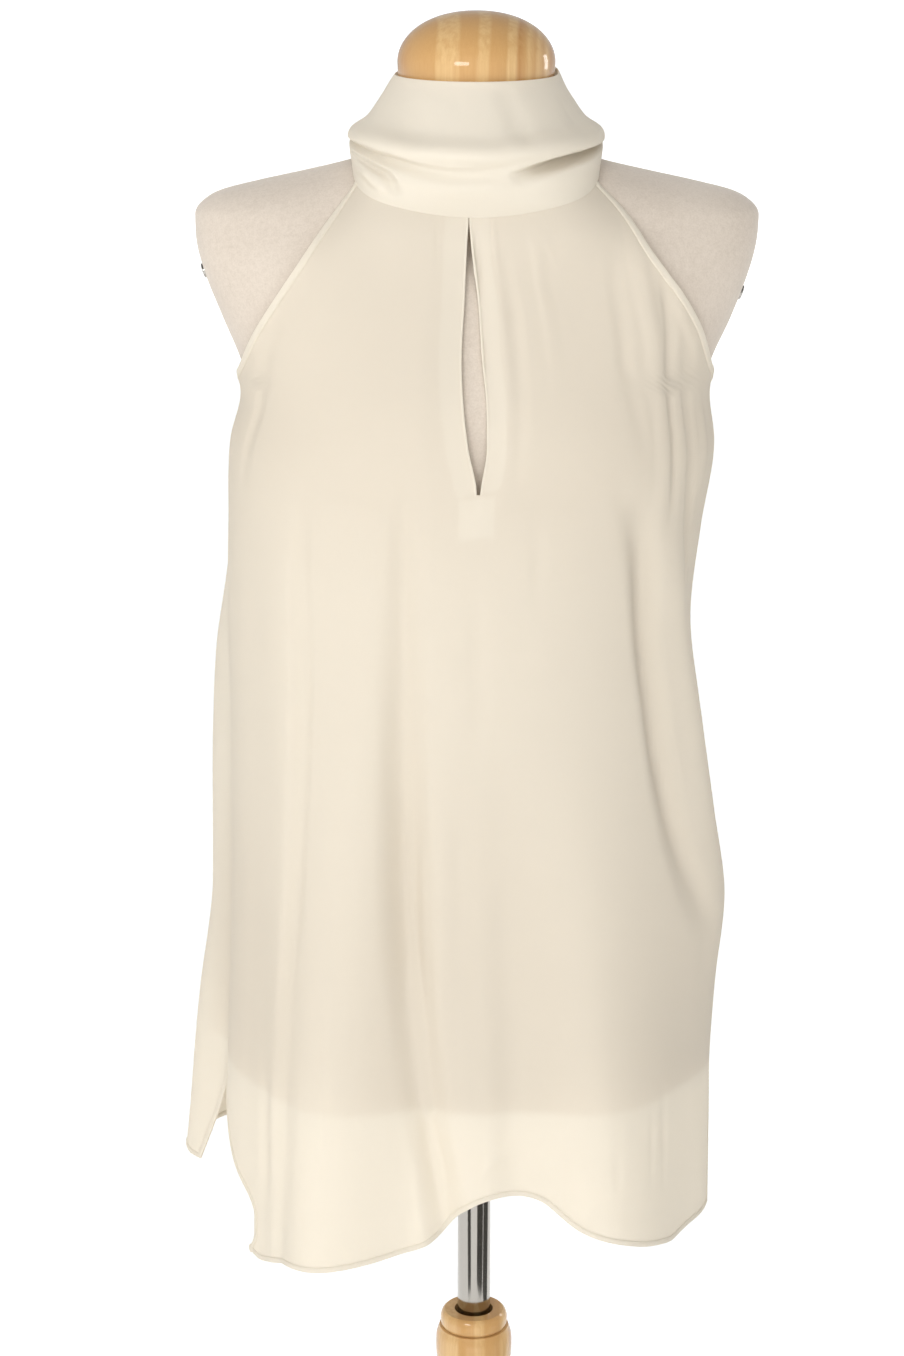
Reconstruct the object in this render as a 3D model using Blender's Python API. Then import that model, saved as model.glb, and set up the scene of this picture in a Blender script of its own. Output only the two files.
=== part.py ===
"""Sleeveless halter-neck blouse on a limbless dress form with a turned wooden stand.

Metres, +Z up. The origin is the middle of the base's underside, on the axis of the pole,
and the blouse's front faces -Y. Angles round the body are degrees in plan: 0 is the centre
front, 90 the wearer's left side (+X), 180 the centre back and -90 the side at -X.
"""

import math
from collections import namedtuple

import bmesh
import bpy
import numpy as np
from mathutils.bvhtree import BVHTree

# ---------------------------------------------------------------- driving dimensions
CLOTH_WALL = 0.0012
COLLAR_WALL = 0.0020
SEAM_GAP = 0.0004
FACING_WALL = 0.0008
BINDING_WIDTH = 0.0055
BINDING_WALL = 0.0009
BINDING_GAP = 0.0014

POLE_RADIUS = 0.0125
FORM_BOTTOM = 0.574
NECK_TOP = 1.2860
CAP_TOP = 1.3425
CAP_RADIUS = 0.0545

# ---------------------------------------------------------------- section tables
# A row is one level of the body: half widths to -X and +X, depths to the front and back
# of the pole's axis, and how square the section is (2 is an ellipse).
Section = namedtuple("Section", "z left right front back square")

FORM_SECTIONS = [
    Section(0.5740, 0.1650, 0.1650, 0.1140, 0.1120, 2.3),
    Section(0.5850, 0.1700, 0.1700, 0.1180, 0.1170, 2.3),
    Section(0.6500, 0.1720, 0.1720, 0.1180, 0.1230, 2.2),
    Section(0.7200, 0.1640, 0.1640, 0.1130, 0.1160, 2.1),
    Section(0.8000, 0.1480, 0.1440, 0.1030, 0.1020, 2.0),
    Section(0.8800, 0.1340, 0.1320, 0.0940, 0.0900, 2.0),
    Section(0.9400, 0.1380, 0.1360, 0.0970, 0.0910, 2.0),
    Section(1.0000, 0.1480, 0.1480, 0.1090, 0.0970, 2.1),
    Section(1.0450, 0.1560, 0.1560, 0.1200, 0.1010, 2.2),
    Section(1.0800, 0.1590, 0.1590, 0.1190, 0.1040, 2.3),
    Section(1.1050, 0.1660, 0.1660, 0.1120, 0.1050, 2.3),
    Section(1.1340, 0.1780, 0.1790, 0.1020, 0.1040, 2.3),
    Section(1.1590, 0.1880, 0.1885, 0.0930, 0.1010, 2.3),
    Section(1.1850, 0.1950, 0.1955, 0.0800, 0.0940, 2.3),
    Section(1.2030, 0.1960, 0.1970, 0.0690, 0.0840, 2.2),
    Section(1.2130, 0.1900, 0.1910, 0.0630, 0.0770, 2.1),
    Section(1.2190, 0.1790, 0.1800, 0.0600, 0.0720, 1.9),
    Section(1.2250, 0.1520, 0.1530, 0.0580, 0.0680, 1.75),
    Section(1.2320, 0.1180, 0.1190, 0.0560, 0.0640, 1.6),
    Section(1.2400, 0.0860, 0.0860, 0.0545, 0.0610, 1.7),
    Section(1.2480, 0.0660, 0.0660, 0.0530, 0.0570, 1.9),
    Section(1.2600, 0.0560, 0.0560, 0.0520, 0.0540, 2.0),
    Section(NECK_TOP, 0.0520, 0.0520, 0.0510, 0.0520, 2.0),
]

BLOUSE_SECTIONS = [
    Section(0.4300, 0.1880, 0.1775, 0.1300, 0.1420, 2.1),
    Section(0.5000, 0.1870, 0.1755, 0.1290, 0.1400, 2.1),
    Section(0.5700, 0.1850, 0.1750, 0.1290, 0.1370, 2.2),
    Section(0.6500, 0.1810, 0.1785, 0.1290, 0.1340, 2.2),
    Section(0.7100, 0.1790, 0.1830, 0.1290, 0.1320, 2.2),
    Section(0.7800, 0.1780, 0.1745, 0.1290, 0.1300, 2.2),
    Section(0.8500, 0.1775, 0.1640, 0.1290, 0.1270, 2.2),
    Section(0.9200, 0.1780, 0.1550, 0.1290, 0.1230, 2.2),
    Section(0.9850, 0.1765, 0.1610, 0.1300, 0.1190, 2.2),
    Section(1.0450, 0.1740, 0.1690, 0.1290, 0.1150, 2.3),
    Section(1.0800, 0.1660, 0.1650, 0.1260, 0.1160, 2.3),
    Section(1.1050, 0.1710, 0.1700, 0.1190, 0.1150, 2.3),
    Section(1.1340, 0.1830, 0.1840, 0.1090, 0.1140, 2.3),
    Section(1.1590, 0.1930, 0.1930, 0.1000, 0.1110, 2.3),
    Section(1.1850, 0.2000, 0.2000, 0.0910, 0.1040, 2.3),
    Section(1.2030, 0.2010, 0.2020, 0.0845, 0.0960, 2.2),
    Section(1.2200, 0.1950, 0.1950, 0.0750, 0.0860, 2.1),
    Section(1.2350, 0.1800, 0.1800, 0.0650, 0.0790, 2.1),
    Section(1.2500, 0.1600, 0.1600, 0.0600, 0.0740, 2.1),
]

# A fold runs down the cloth through its points: the angle at which it lies at each height
# and how far it stands out there (or, if negative, sinks in). Its width to either side is
# in degrees.
Fold = namedtuple("Fold", "width_low width_high path")
FoldPoint = namedtuple("FoldPoint", "z angle depth")


def fold(width_low, width_high, *path):
    """A fold through (z, angle, depth) points."""
    return Fold(width_low, width_high, [FoldPoint(*point) for point in path])


FOLDS = [
    # front: the left lobe, the deep trough beside it and the long crease at the left
    fold(22, 22, (0.450, -41, 0.0330), (0.600, -41, 0.0210), (0.930, -37, 0.0)),
    fold(
        7,
        10,
        (0.450, -7.5, -0.0100),
        (0.530, -12.5, -0.0100),
        (0.577, -16.0, -0.0070),
        (0.640, -19.0, -0.0070),
        (0.707, -22.0, -0.0090),
        (0.780, -23.0, -0.0085),
        (0.915, -23.0, -0.0045),
        (1.027, -21.0, 0.0),
    ),
    fold(14, 6, (0.450, -58, 0.0060), (0.950, -53, 0.0042), (1.025, -57, 0.0)),
    # front: the right lobe, the valley and the drape at the right side, the low middle
    fold(20, 18, (0.450, 41, 0.0240), (0.860, 32, 0.0)),
    fold(
        8,
        6,
        (0.690, 72, 0.0),
        (0.713, 68, -0.0030),
        (0.739, 64.5, -0.0050),
        (0.786, 60.5, -0.0075),
        (0.831, 58, -0.0088),
        (0.876, 56.5, -0.0095),
        (0.919, 54.5, -0.0090),
        (0.963, 52, -0.0075),
        (0.993, 49.5, -0.0045),
        (1.030, 44, 0.0),
    ),
    fold(
        7,
        14,
        (0.640, 76, 0.0015),
        (0.697, 73, 0.0040),
        (0.784, 68, 0.0065),
        (0.874, 65, 0.0070),
        (0.933, 61.5, 0.0060),
        (0.978, 57.5, 0.0045),
        (1.045, 52, 0.0),
    ),
    fold(9, 9, (0.450, 14, -0.0040), (0.900, 8, 0.0)),
    # back: the wing that stands out behind the left side, two broad lobes, two troughs
    fold(
        28,
        14,
        (0.450, 254, 0.0500),
        (0.560, 254.5, 0.0390),
        (0.700, 255, 0.0265),
        (0.905, 256, 0.0130),
        (0.965, 257, 0.0),
    ),
    fold(20, 18, (0.450, 210, 0.0220), (0.960, 206, 0.0)),
    fold(10, 9, (0.450, 192, -0.0100), (0.930, 190, -0.0040), (1.000, 190, 0.0)),
    fold(18, 20, (0.450, 156, 0.0260), (0.940, 162, 0.0)),
    fold(10, 10, (0.450, 130, -0.0080), (0.920, 132, -0.0030), (0.980, 132, 0.0)),
    fold(13, 13, (0.450, 110, 0.0120), (0.900, 112, 0.0)),
]

# ---------------------------------------------------------------- edges of the panels
# The armhole's front and back edges: distance from the axis at each height.
EdgePoint = namedtuple("EdgePoint", "z x")

UNDERARM_Z = 1.0850
ARMHOLE_FRONT_LEFT = [
    EdgePoint(1.2300, -0.0825),
    EdgePoint(1.2085, -0.0990),
    EdgePoint(1.1785, -0.1205),
    EdgePoint(1.1550, -0.1365),
    EdgePoint(1.1300, -0.1520),
    EdgePoint(1.1040, -0.1635),
]
ARMHOLE_FRONT_RIGHT = [
    EdgePoint(1.2310, 0.0825),
    EdgePoint(1.2160, 0.0985),
    EdgePoint(1.1875, 0.1190),
    EdgePoint(1.1585, 0.1405),
    EdgePoint(1.1400, 0.1515),
    EdgePoint(1.1030, 0.1640),
]
ARMHOLE_BACK = [
    EdgePoint(1.2400, 0.0700),
    EdgePoint(1.2150, 0.0880),
    EdgePoint(1.1850, 0.1080),
    EdgePoint(1.1550, 0.1290),
    EdgePoint(1.1250, 0.1490),
    EdgePoint(1.1000, 0.1625),
]

# The slit edges below the side seams: angle at each height.
SlitPoint = namedtuple("SlitPoint", "z angle")

SLIT_TOP = 0.585
FRONT_SLIT_LEFT = [
    SlitPoint(0.4400, -70),
    SlitPoint(0.4620, -66),
    SlitPoint(0.4760, -66),
    SlitPoint(0.5050, -77),
    SlitPoint(0.5400, -85),
    SlitPoint(SLIT_TOP, -90),
]
FRONT_SLIT_RIGHT = [SlitPoint(0.4400, 80), SlitPoint(0.5200, 85), SlitPoint(SLIT_TOP, 90)]
BACK_SLIT_RIGHT = [SlitPoint(0.4400, 97), SlitPoint(0.5200, 94), SlitPoint(SLIT_TOP, 90)]
BACK_SLIT_LEFT = [SlitPoint(0.4400, 258), SlitPoint(0.5200, 264), SlitPoint(SLIT_TOP, 270)]

# The hems: height at each angle.
HemPoint = namedtuple("HemPoint", "angle z")

FRONT_HEM = [
    HemPoint(-70, 0.4460),
    HemPoint(-64, 0.4440),
    HemPoint(-57, 0.4500),
    HemPoint(-48, 0.4584),
    HemPoint(-36, 0.4636),
    HemPoint(-24, 0.4706),
    HemPoint(-12, 0.4825),
    HemPoint(-4, 0.5033),
    HemPoint(4, 0.5140),
    HemPoint(14, 0.5165),
    HemPoint(21, 0.5125),
    HemPoint(31, 0.4900),
    HemPoint(41, 0.4789),
    HemPoint(51, 0.4703),
    HemPoint(61, 0.4643),
    HemPoint(74, 0.4650),
    HemPoint(84, 0.4680),
]
BACK_HEM = [
    HemPoint(95, 0.4680),
    HemPoint(130, 0.4840),
    HemPoint(160, 0.4820),
    HemPoint(195, 0.4900),
    HemPoint(220, 0.4940),
    HemPoint(238, 0.4920),
    HemPoint(250, 0.4820),
    HemPoint(258, 0.4730),
]

# The keyhole in the front and the short slit in the back: their two edges.
SlotPoint = namedtuple("SlotPoint", "z low high")

KEYHOLE_BOTTOM = 1.0310
KEYHOLE = [
    SlotPoint(0.4300, -0.0012, 0.0012),
    SlotPoint(0.9600, -0.0005, 0.0020),
    SlotPoint(KEYHOLE_BOTTOM, 0.0008, 0.0034),
    SlotPoint(1.0620, -0.0050, 0.0080),
    SlotPoint(1.0920, -0.0085, 0.0075),
    SlotPoint(1.1200, -0.0098, 0.0045),
    SlotPoint(1.1580, -0.0078, 0.0020),
    SlotPoint(1.2080, -0.0055, -0.0030),
]
BACK_SLIT_BOTTOM = 1.1200
BACK_SLOT = [
    SlotPoint(0.4300, -0.0012, 0.0012),
    SlotPoint(BACK_SLIT_BOTTOM, -0.0012, 0.0012),
    SlotPoint(1.1600, -0.0032, 0.0032),
    SlotPoint(1.2400, -0.0015, 0.0015),
]

# ---------------------------------------------------------------- collar
# A row is one ring of the collar from its seam to its top edge: heights at the front,
# sides and back, the half width, the depths in front and behind, how square the ring is,
# and how its height runs between front, sides and back (small is a wide, even dip).
CollarRow = namedtuple("CollarRow", "z_front z_side z_back half front back square dip")

COLLAR_ROWS = [
    CollarRow(1.2112, 1.2490, 1.2430, 0.0850, 0.0815, 0.0760, 3.8, 1.00),
    CollarRow(1.2200, 1.2510, 1.2465, 0.0862, 0.0850, 0.0790, 3.2, 1.05),
    CollarRow(1.2310, 1.2535, 1.2500, 0.0866, 0.0850, 0.0795, 2.8, 1.10),
    CollarRow(1.2380, 1.2550, 1.2535, 0.0862, 0.0820, 0.0785, 2.5, 1.30),
    CollarRow(1.2425, 1.2555, 1.2555, 0.0878, 0.0870, 0.0805, 2.4, 1.40),
    CollarRow(1.2490, 1.2575, 1.2595, 0.0890, 0.0886, 0.0830, 2.3, 1.50),
    CollarRow(1.2565, 1.2625, 1.2665, 0.0872, 0.0868, 0.0815, 2.2, 1.50),
    CollarRow(1.2680, 1.2710, 1.2750, 0.0760, 0.0780, 0.0750, 2.1, 1.50),
    CollarRow(1.2830, 1.2850, 1.2880, 0.0660, 0.0680, 0.0670, 2.1, 1.50),
    CollarRow(1.2940, 1.2950, 1.2980, 0.0605, 0.0615, 0.0615, 2.0, 1.50),
    CollarRow(1.2990, 1.2995, 1.3030, 0.0575, 0.0590, 0.0590, 2.0, 1.50),
]
COLLAR_STATIONS = 41
LAP_DEGREES = 16.0
LAP_RAMP = 26.0
LAP_LIFT = COLLAR_WALL + 0.0009

BUTTON_RADIUS = 0.0050
BUTTON_THICKNESS = 0.0020
BUTTON_HEIGHTS = {"upper": 0.72, "lower": 0.14}

# ---------------------------------------------------------------- stand profiles
# Turned pieces: radius and height, from the bottom of the outside to its top.
TurnPoint = namedtuple("TurnPoint", "r z")

CAP_PROFILE_STEPS = 9
CAP_SIDE_Z = 1.3080
RING_PROFILE = [
    TurnPoint(0.0225, 0.3520),
    TurnPoint(0.0245, 0.3545),
    TurnPoint(0.0250, 0.3590),
    TurnPoint(0.0243, 0.3630),
    TurnPoint(0.0225, 0.3650),
]
RING_BORE = 0.0146
COLUMN_PROFILE = [
    TurnPoint(0.0340, 0.0403),
    TurnPoint(0.0340, 0.0480),
    TurnPoint(0.0280, 0.0560),
    TurnPoint(0.0215, 0.0680),
    TurnPoint(0.0190, 0.1000),
    TurnPoint(0.0200, 0.1700),
    TurnPoint(0.0190, 0.2350),
    TurnPoint(0.0175, 0.2600),
    TurnPoint(0.0235, 0.2680),
    TurnPoint(0.0245, 0.2740),
    TurnPoint(0.0200, 0.2820),
    TurnPoint(0.0230, 0.2960),
    TurnPoint(0.0272, 0.3160),
    TurnPoint(0.0291, 0.3350),
    TurnPoint(0.0284, 0.3450),
    TurnPoint(0.0255, 0.3517),
]
COLUMN_BORE_DEPTH = 0.060
BASE_PROFILE = [
    TurnPoint(0.1700, 0.0000),
    TurnPoint(0.1780, 0.0030),
    TurnPoint(0.1800, 0.0120),
    TurnPoint(0.1770, 0.0210),
    TurnPoint(0.1660, 0.0270),
    TurnPoint(0.0900, 0.0310),
    TurnPoint(0.0560, 0.0350),
    TurnPoint(0.0480, 0.0400),
]
SOCKET_PROFILE = [
    TurnPoint(0.0170, 0.5460),
    TurnPoint(0.0210, 0.5490),
    TurnPoint(0.0220, 0.5620),
    TurnPoint(0.0350, 0.5640),
    TurnPoint(0.0360, 0.5700),
    TurnPoint(0.0345, FORM_BOTTOM - 0.0004),
]
POLE_CLEARANCE = 0.0004
POLE_DEPTH_IN_FORM = 0.060

# ---------------------------------------------------------------- mesh densities
FRONT_COLUMNS_PER_SIDE = 16
BACK_COLUMNS_PER_SIDE = 13
PANEL_ROW_STEPS = {"hem": 5, "body": 11, "bust": 3, "armhole": 10}
FORM_STATIONS = 36
TURNED_SIDES = 32
POLE_SIDES = 24

ARMHOLE_ROW_BUNCHING = 1.35
BINDING_STEP = 0.009
PULL_FROM = 0.93
STAY_DROP = 0.0060

# ---------------------------------------------------------------- materials
Finish = namedtuple("Finish", "colour roughness metallic")

FINISHES = {
    "crepe": Finish((0.86, 0.79, 0.66), 0.75, 0.0),
    "button": Finish((0.82, 0.76, 0.66), 0.25, 0.0),
    "jersey": Finish((0.76, 0.69, 0.60), 0.90, 0.0),
    "pine": Finish((0.64, 0.36, 0.14), 0.18, 0.0),
    "steel": Finish((0.60, 0.60, 0.60), 0.22, 1.0),
}


def clear_scene():
    """Remove everything that is in the file."""
    for thing in list(bpy.data.objects):
        bpy.data.objects.remove(thing, do_unlink=True)


def make_materials():
    """One Principled material for each finish."""
    made = {}
    for name, finish in FINISHES.items():
        material = bpy.data.materials.new(name)
        material.use_nodes = True
        shader = material.node_tree.nodes["Principled BSDF"]
        shader.inputs["Base Color"].default_value = (*finish.colour, 1.0)
        shader.inputs["Roughness"].default_value = finish.roughness
        shader.inputs["Metallic"].default_value = finish.metallic
        made[name] = material
    return made


# ---------------------------------------------------------------- interpolation
def smooth_curve(keys, values, at):
    """Smooth interpolation through rising keys that never overshoots its values."""
    keys, values = np.asarray(keys, float), np.asarray(values, float)
    steps = np.diff(keys)
    slopes = np.diff(values) / steps
    tangents = np.zeros_like(values)
    same_way = slopes[:-1] * slopes[1:] > 0
    mean = (slopes[:-1] * steps[1:] + slopes[1:] * steps[:-1]) / (steps[:-1] + steps[1:])
    limit = 3 * np.minimum(np.abs(slopes[:-1]), np.abs(slopes[1:]))
    tangents[1:-1] = np.where(same_way, np.clip(mean, -limit, limit), 0.0)
    tangents[0], tangents[-1] = slopes[0], slopes[-1]
    at = np.clip(np.asarray(at, float), keys[0], keys[-1])
    cell = np.clip(np.searchsorted(keys, at) - 1, 0, len(steps) - 1)
    u = (at - keys[cell]) / steps[cell]
    return (
        values[cell] * (1 + 2 * u) * (1 - u) ** 2
        + tangents[cell] * steps[cell] * u * (1 - u) ** 2
        + values[cell + 1] * u * u * (3 - 2 * u)
        - tangents[cell + 1] * steps[cell] * u * u * (1 - u)
    )


def column(table, name):
    """One named column of a table, in rising order of the table's first column."""
    rows = sorted(table, key=lambda row: row[0])
    return np.array([getattr(row, name) for row in rows])


def lookup(table, name, at):
    """The named column of a table, read smoothly at a value of its first column."""
    return smooth_curve(column(table, table[0]._fields[0]), column(table, name), at)


def ease(u):
    """0 to 1 with flat ends."""
    u = np.clip(u, 0.0, 1.0)
    return u * u * (3 - 2 * u)


# ---------------------------------------------------------------- body surface
def section_radius(table, angle, z):
    """Distance from the axis to a body section in the direction of an angle."""
    side = np.sin(np.radians(angle))
    ahead = np.cos(np.radians(angle))
    half = np.where(side < 0, lookup(table, "left", z), lookup(table, "right", z))
    depth = np.where(ahead > 0, lookup(table, "front", z), lookup(table, "back", z))
    square = lookup(table, "square", z)
    total = (np.abs(side) / half) ** square + (np.abs(ahead) / depth) ** square
    return total ** (-1 / square)


def fold_relief(angle, z):
    """How far the folds lift the cloth off its plain section."""
    relief = np.zeros(np.broadcast(angle, z).shape)
    for ridge in FOLDS:
        off = (angle - lookup(ridge.path, "angle", z) + 180) % 360 - 180
        width = np.where(off < 0, ridge.width_low, ridge.width_high)
        bump = np.cos(np.clip(np.abs(off) / width, 0, 1) * math.pi / 2) ** 2
        relief += bump * lookup(ridge.path, "depth", z)
    return relief


def on_blouse(angle, z):
    """Points of the blouse's outer face."""
    radius = section_radius(BLOUSE_SECTIONS, angle, z) + fold_relief(angle, z)
    turn = np.radians(angle)
    return np.stack([radius * np.sin(turn), -radius * np.cos(turn), z + 0 * radius], -1)


def angle_at_x(x, z, behind):
    """The angle at which the blouse's section at height z is x away from the middle."""
    middle = 180.0 if behind else 0.0
    sign = -1.0 if behind else 1.0
    trial = middle + sign * np.sign(x) * np.linspace(0, 90, 181)
    reach = np.abs(on_blouse(trial, np.full(trial.shape, float(z)))[:, 0])
    peak = int(np.argmax(reach))
    return float(np.interp(abs(x), reach[: peak + 1], trial[: peak + 1]))


# ---------------------------------------------------------------- collar surface
def collar_point(row, angle):
    """A point of one collar ring, square to the side as the row says."""
    side = abs(math.sin(math.radians(angle)))
    ahead = math.cos(math.radians(angle))
    depth = row.front if ahead > 0 else row.back
    radius = ((side / row.half) ** row.square + (abs(ahead) / depth) ** row.square) ** (
        -1 / row.square
    )
    end_z = row.z_front if ahead > 0 else row.z_back
    z = row.z_side + (end_z - row.z_side) * abs(ahead) ** row.dip
    turn = math.radians(angle)
    return np.array([radius * math.sin(turn), -radius * math.cos(turn), z])


def neckline_point(angle):
    """A point of the panels' top edge, just under the collar's seam."""
    return collar_point(COLLAR_ROWS[0], angle) - np.array([0.0, 0.0, SEAM_GAP + 0.0002])


def neckline_angle(edge_x):
    """The angle at which the neckline is edge_x away from the middle, in front."""
    trial = np.linspace(0, 89, 300)
    reach = [neckline_point(a)[0] for a in trial]
    return float(np.interp(abs(edge_x), reach, trial)) * math.copysign(1, edge_x)


# ---------------------------------------------------------------- panels
Panel = namedtuple("Panel", "grid slot_column slot_rows armhole_start")


def row_fractions(z_low, z_high):
    """Heights of the rows from the hem to the neckline, as fractions of the way up."""
    marks = [z_low, SLIT_TOP, KEYHOLE_BOTTOM, UNDERARM_Z]
    slit, keyhole, arm = ((mark - z_low) / (z_high - z_low) for mark in marks[1:])
    steps = PANEL_ROW_STEPS
    rising = np.linspace(0, 1, steps["armhole"] + 1) ** ARMHOLE_ROW_BUNCHING
    return np.concatenate(
        [
            np.linspace(0, slit, steps["hem"] + 1)[:-1],
            np.linspace(slit, keyhole, steps["body"] + 1)[:-1],
            np.linspace(keyhole, arm, steps["bust"] + 1)[:-1],
            arm + (1 - arm) * rising,
        ]
    )


def edge_angle(z, armhole, slit, seam_angle, behind):
    """The angle of a panel's side edge: along the slit, the side seam or the armhole."""
    if z > UNDERARM_Z:
        edge = math.copysign(1, armhole[0].x) * np.abs(lookup(armhole, "x", z))
        blend = ease((z - UNDERARM_Z) / 0.020)
        return seam_angle + (angle_at_x(float(edge), z, behind) - seam_angle) * blend
    if z < SLIT_TOP:
        return float(lookup(slit, "angle", z))
    return seam_angle


def seam_clear(angle_low, angle_high):
    """Two edge angles drawn in by half a seam's gap each."""
    clear = math.degrees(SEAM_GAP / 2 / 0.17)
    return angle_low + clear, angle_high - clear


def panel_points(edges, hem, neck, slot, per_side, behind):
    """The outer grid of a panel, as rows from hem to neckline.

    edges gives the two side angles at a height, neck the point of the neckline at a
    fraction across, and slot the two edges of the panel's slit at a height.
    """
    across = np.concatenate([np.linspace(0, 1, per_side), np.linspace(1, 2, per_side)])
    hem_low, hem_high = column(hem, "angle")[[0, -1]]

    def angle_of(share, z):
        low, high = edges(z)
        near, far = slot(z)
        if share[1] == 0:
            return low + (near - low) * share[0]
        return far + (high - far) * (share[0] - 1)

    shares = [(value, int(i >= per_side)) for i, value in enumerate(across)]
    tops = [neck(value / 2) for value, _ in shares]
    hems = []
    for share in shares:
        z = float(lookup(hem, "z", hem_low + (hem_high - hem_low) * share[0] / 2))
        for _ in range(6):
            z = 0.5 * z + 0.5 * float(lookup(hem, "z", angle_of(share, z)))
        hems.append(z)
    steps = row_fractions(float(np.mean(hems)), float(np.mean([top[2] for top in tops])))
    grid = np.zeros((len(steps), len(shares), 3))
    for i, share in enumerate(shares):
        for j, step in enumerate(steps):
            z = hems[i] + (tops[i][2] - hems[i]) * step
            grid[j, i] = on_blouse(angle_of(share, z), z)
        pull = tops[i] - grid[-1, i]
        grid[:, i] += np.outer(ease((steps - PULL_FROM) / (1 - PULL_FROM)), pull)
    return grid, steps


def front_panel():
    """The front's outer grid, its keyhole columns and the first row of its armholes."""

    def edges(z):
        left = edge_angle(z, ARMHOLE_FRONT_LEFT, FRONT_SLIT_LEFT, -90.0, False)
        right = edge_angle(z, ARMHOLE_FRONT_RIGHT, FRONT_SLIT_RIGHT, 90.0, False)
        return seam_clear(left, right)

    def slot(z):
        low, high = float(lookup(KEYHOLE, "low", z)), float(lookup(KEYHOLE, "high", z))
        return angle_at_x(low, z, False), angle_at_x(high, z, False)

    corner = neckline_angle(ARMHOLE_FRONT_RIGHT[0].x)
    key_low = neckline_angle(KEYHOLE[-1].low)
    key_high = neckline_angle(KEYHOLE[-1].high)

    def neck(share):
        if share < 0.5:
            return neckline_point(-corner + (key_low + corner) * share * 2)
        if share > 0.5:
            return neckline_point(key_high + (corner - key_high) * (share * 2 - 1))
        return neckline_point(key_low)

    per_side = FRONT_COLUMNS_PER_SIDE
    grid, _ = panel_points(edges, FRONT_HEM, neck, slot, per_side, False)
    top = neckline_point(key_high)
    grid[-1, per_side] = top
    return finish_panel(grid, slot, per_side, KEYHOLE_BOTTOM)


def back_panel():
    """The back's outer grid, its slit columns and the first row of its armholes."""
    mirrored = [EdgePoint(p.z, -p.x) for p in ARMHOLE_BACK]

    def edges(z):
        low = edge_angle(z, ARMHOLE_BACK, BACK_SLIT_RIGHT, 90.0, True)
        high = edge_angle(z, mirrored, BACK_SLIT_LEFT, 270.0, True)
        return seam_clear(low, high)

    def slot(z):
        high = float(lookup(BACK_SLOT, "high", z))
        return angle_at_x(high, z, True), angle_at_x(-high, z, True)

    corner = 180 - neckline_angle(ARMHOLE_BACK[0].x)
    half_slot = math.degrees(BACK_SLOT[-1].high / COLLAR_ROWS[0].back)

    def neck(share):
        if share < 0.5:
            return neckline_point(corner + (180 - half_slot - corner) * share * 2)
        start = 180 + half_slot
        return neckline_point(start + (360 - corner - start) * (share * 2 - 1))

    per_side = BACK_COLUMNS_PER_SIDE
    grid, _ = panel_points(edges, BACK_HEM, neck, slot, per_side, True)
    grid[-1, per_side - 1] = neckline_point(180 - half_slot)
    return finish_panel(grid, slot, per_side, BACK_SLIT_BOTTOM)


def finish_panel(grid, slot, per_side, slot_bottom):
    """Bring a row of the slit to its bottom, and note the first row of the armholes."""
    slot_rows = int(np.searchsorted(grid[:, per_side, 2], slot_bottom))
    for column_at, angle in zip((per_side - 1, per_side), slot(slot_bottom)):
        grid[slot_rows, column_at] = on_blouse(np.array(angle), np.array(slot_bottom))
    armhole_start = sum(PANEL_ROW_STEPS[band] for band in ("hem", "body", "bust"))
    return Panel(grid, per_side - 1, slot_rows, armhole_start)


# ---------------------------------------------------------------- meshes
def grid_normals(grid):
    """Unit normals of a grid of points, each from the cells that meet there."""
    rising = grid[1:, 1:] - grid[:-1, :-1]
    falling = grid[1:, :-1] - grid[:-1, 1:]
    cells = np.cross(rising, falling)
    normals = np.zeros_like(grid)
    for j in (slice(None, -1), slice(1, None)):
        for i in (slice(None, -1), slice(1, None)):
            normals[j, i] += cells
    return normals / np.maximum(np.linalg.norm(normals, axis=-1, keepdims=True), 1e-12)


def wall_mesh(outer, inner, solid):
    """Vertices and faces of a closed wall between two grids, where solid cells say so."""
    rows, columns = outer.shape[:2]
    count = rows * columns
    verts = np.concatenate([outer.reshape(-1, 3), inner.reshape(-1, 3)])
    faces = []

    def index(j, i):
        return j * columns + i

    def is_solid(j, i):
        return 0 <= j < rows - 1 and 0 <= i < columns - 1 and solid[j, i]

    for j in range(rows - 1):
        for i in range(columns - 1):
            if not solid[j, i]:
                continue
            a, b, c, d = index(j, i), index(j, i + 1), index(j + 1, i + 1), index(j + 1, i)
            faces.append((a, b, c, d))
            faces.append((d + count, c + count, b + count, a + count))
            sides = [
                ((j - 1, i), a, b),
                ((j, i + 1), b, c),
                ((j + 1, i), c, d),
                ((j, i - 1), d, a),
            ]
            for neighbour, start, end in sides:
                if not is_solid(*neighbour):
                    faces.append((end, start, start + count, end + count))
    return verts, faces


def add_object(name, verts, faces, material, smooth_angle=40.0):
    """A named object whose faces point outwards and whose loose points are gone."""
    mesh = bpy.data.meshes.new(name)
    mesh.from_pydata([tuple(map(float, v)) for v in verts], [], faces)
    work = bmesh.new()
    work.from_mesh(mesh)
    loose = [v for v in work.verts if not v.link_faces]
    bmesh.ops.delete(work, geom=loose, context="VERTS")
    bmesh.ops.recalc_face_normals(work, faces=work.faces)
    if work.calc_volume(signed=True) < 0:
        bmesh.ops.reverse_faces(work, faces=work.faces)
    work.to_mesh(mesh)
    work.free()
    mesh.shade_smooth()
    mesh.set_sharp_from_angle(angle=math.radians(smooth_angle))
    thing = bpy.data.objects.new(name, mesh)
    thing.data.materials.append(material)
    bpy.context.collection.objects.link(thing)
    return thing


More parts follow.
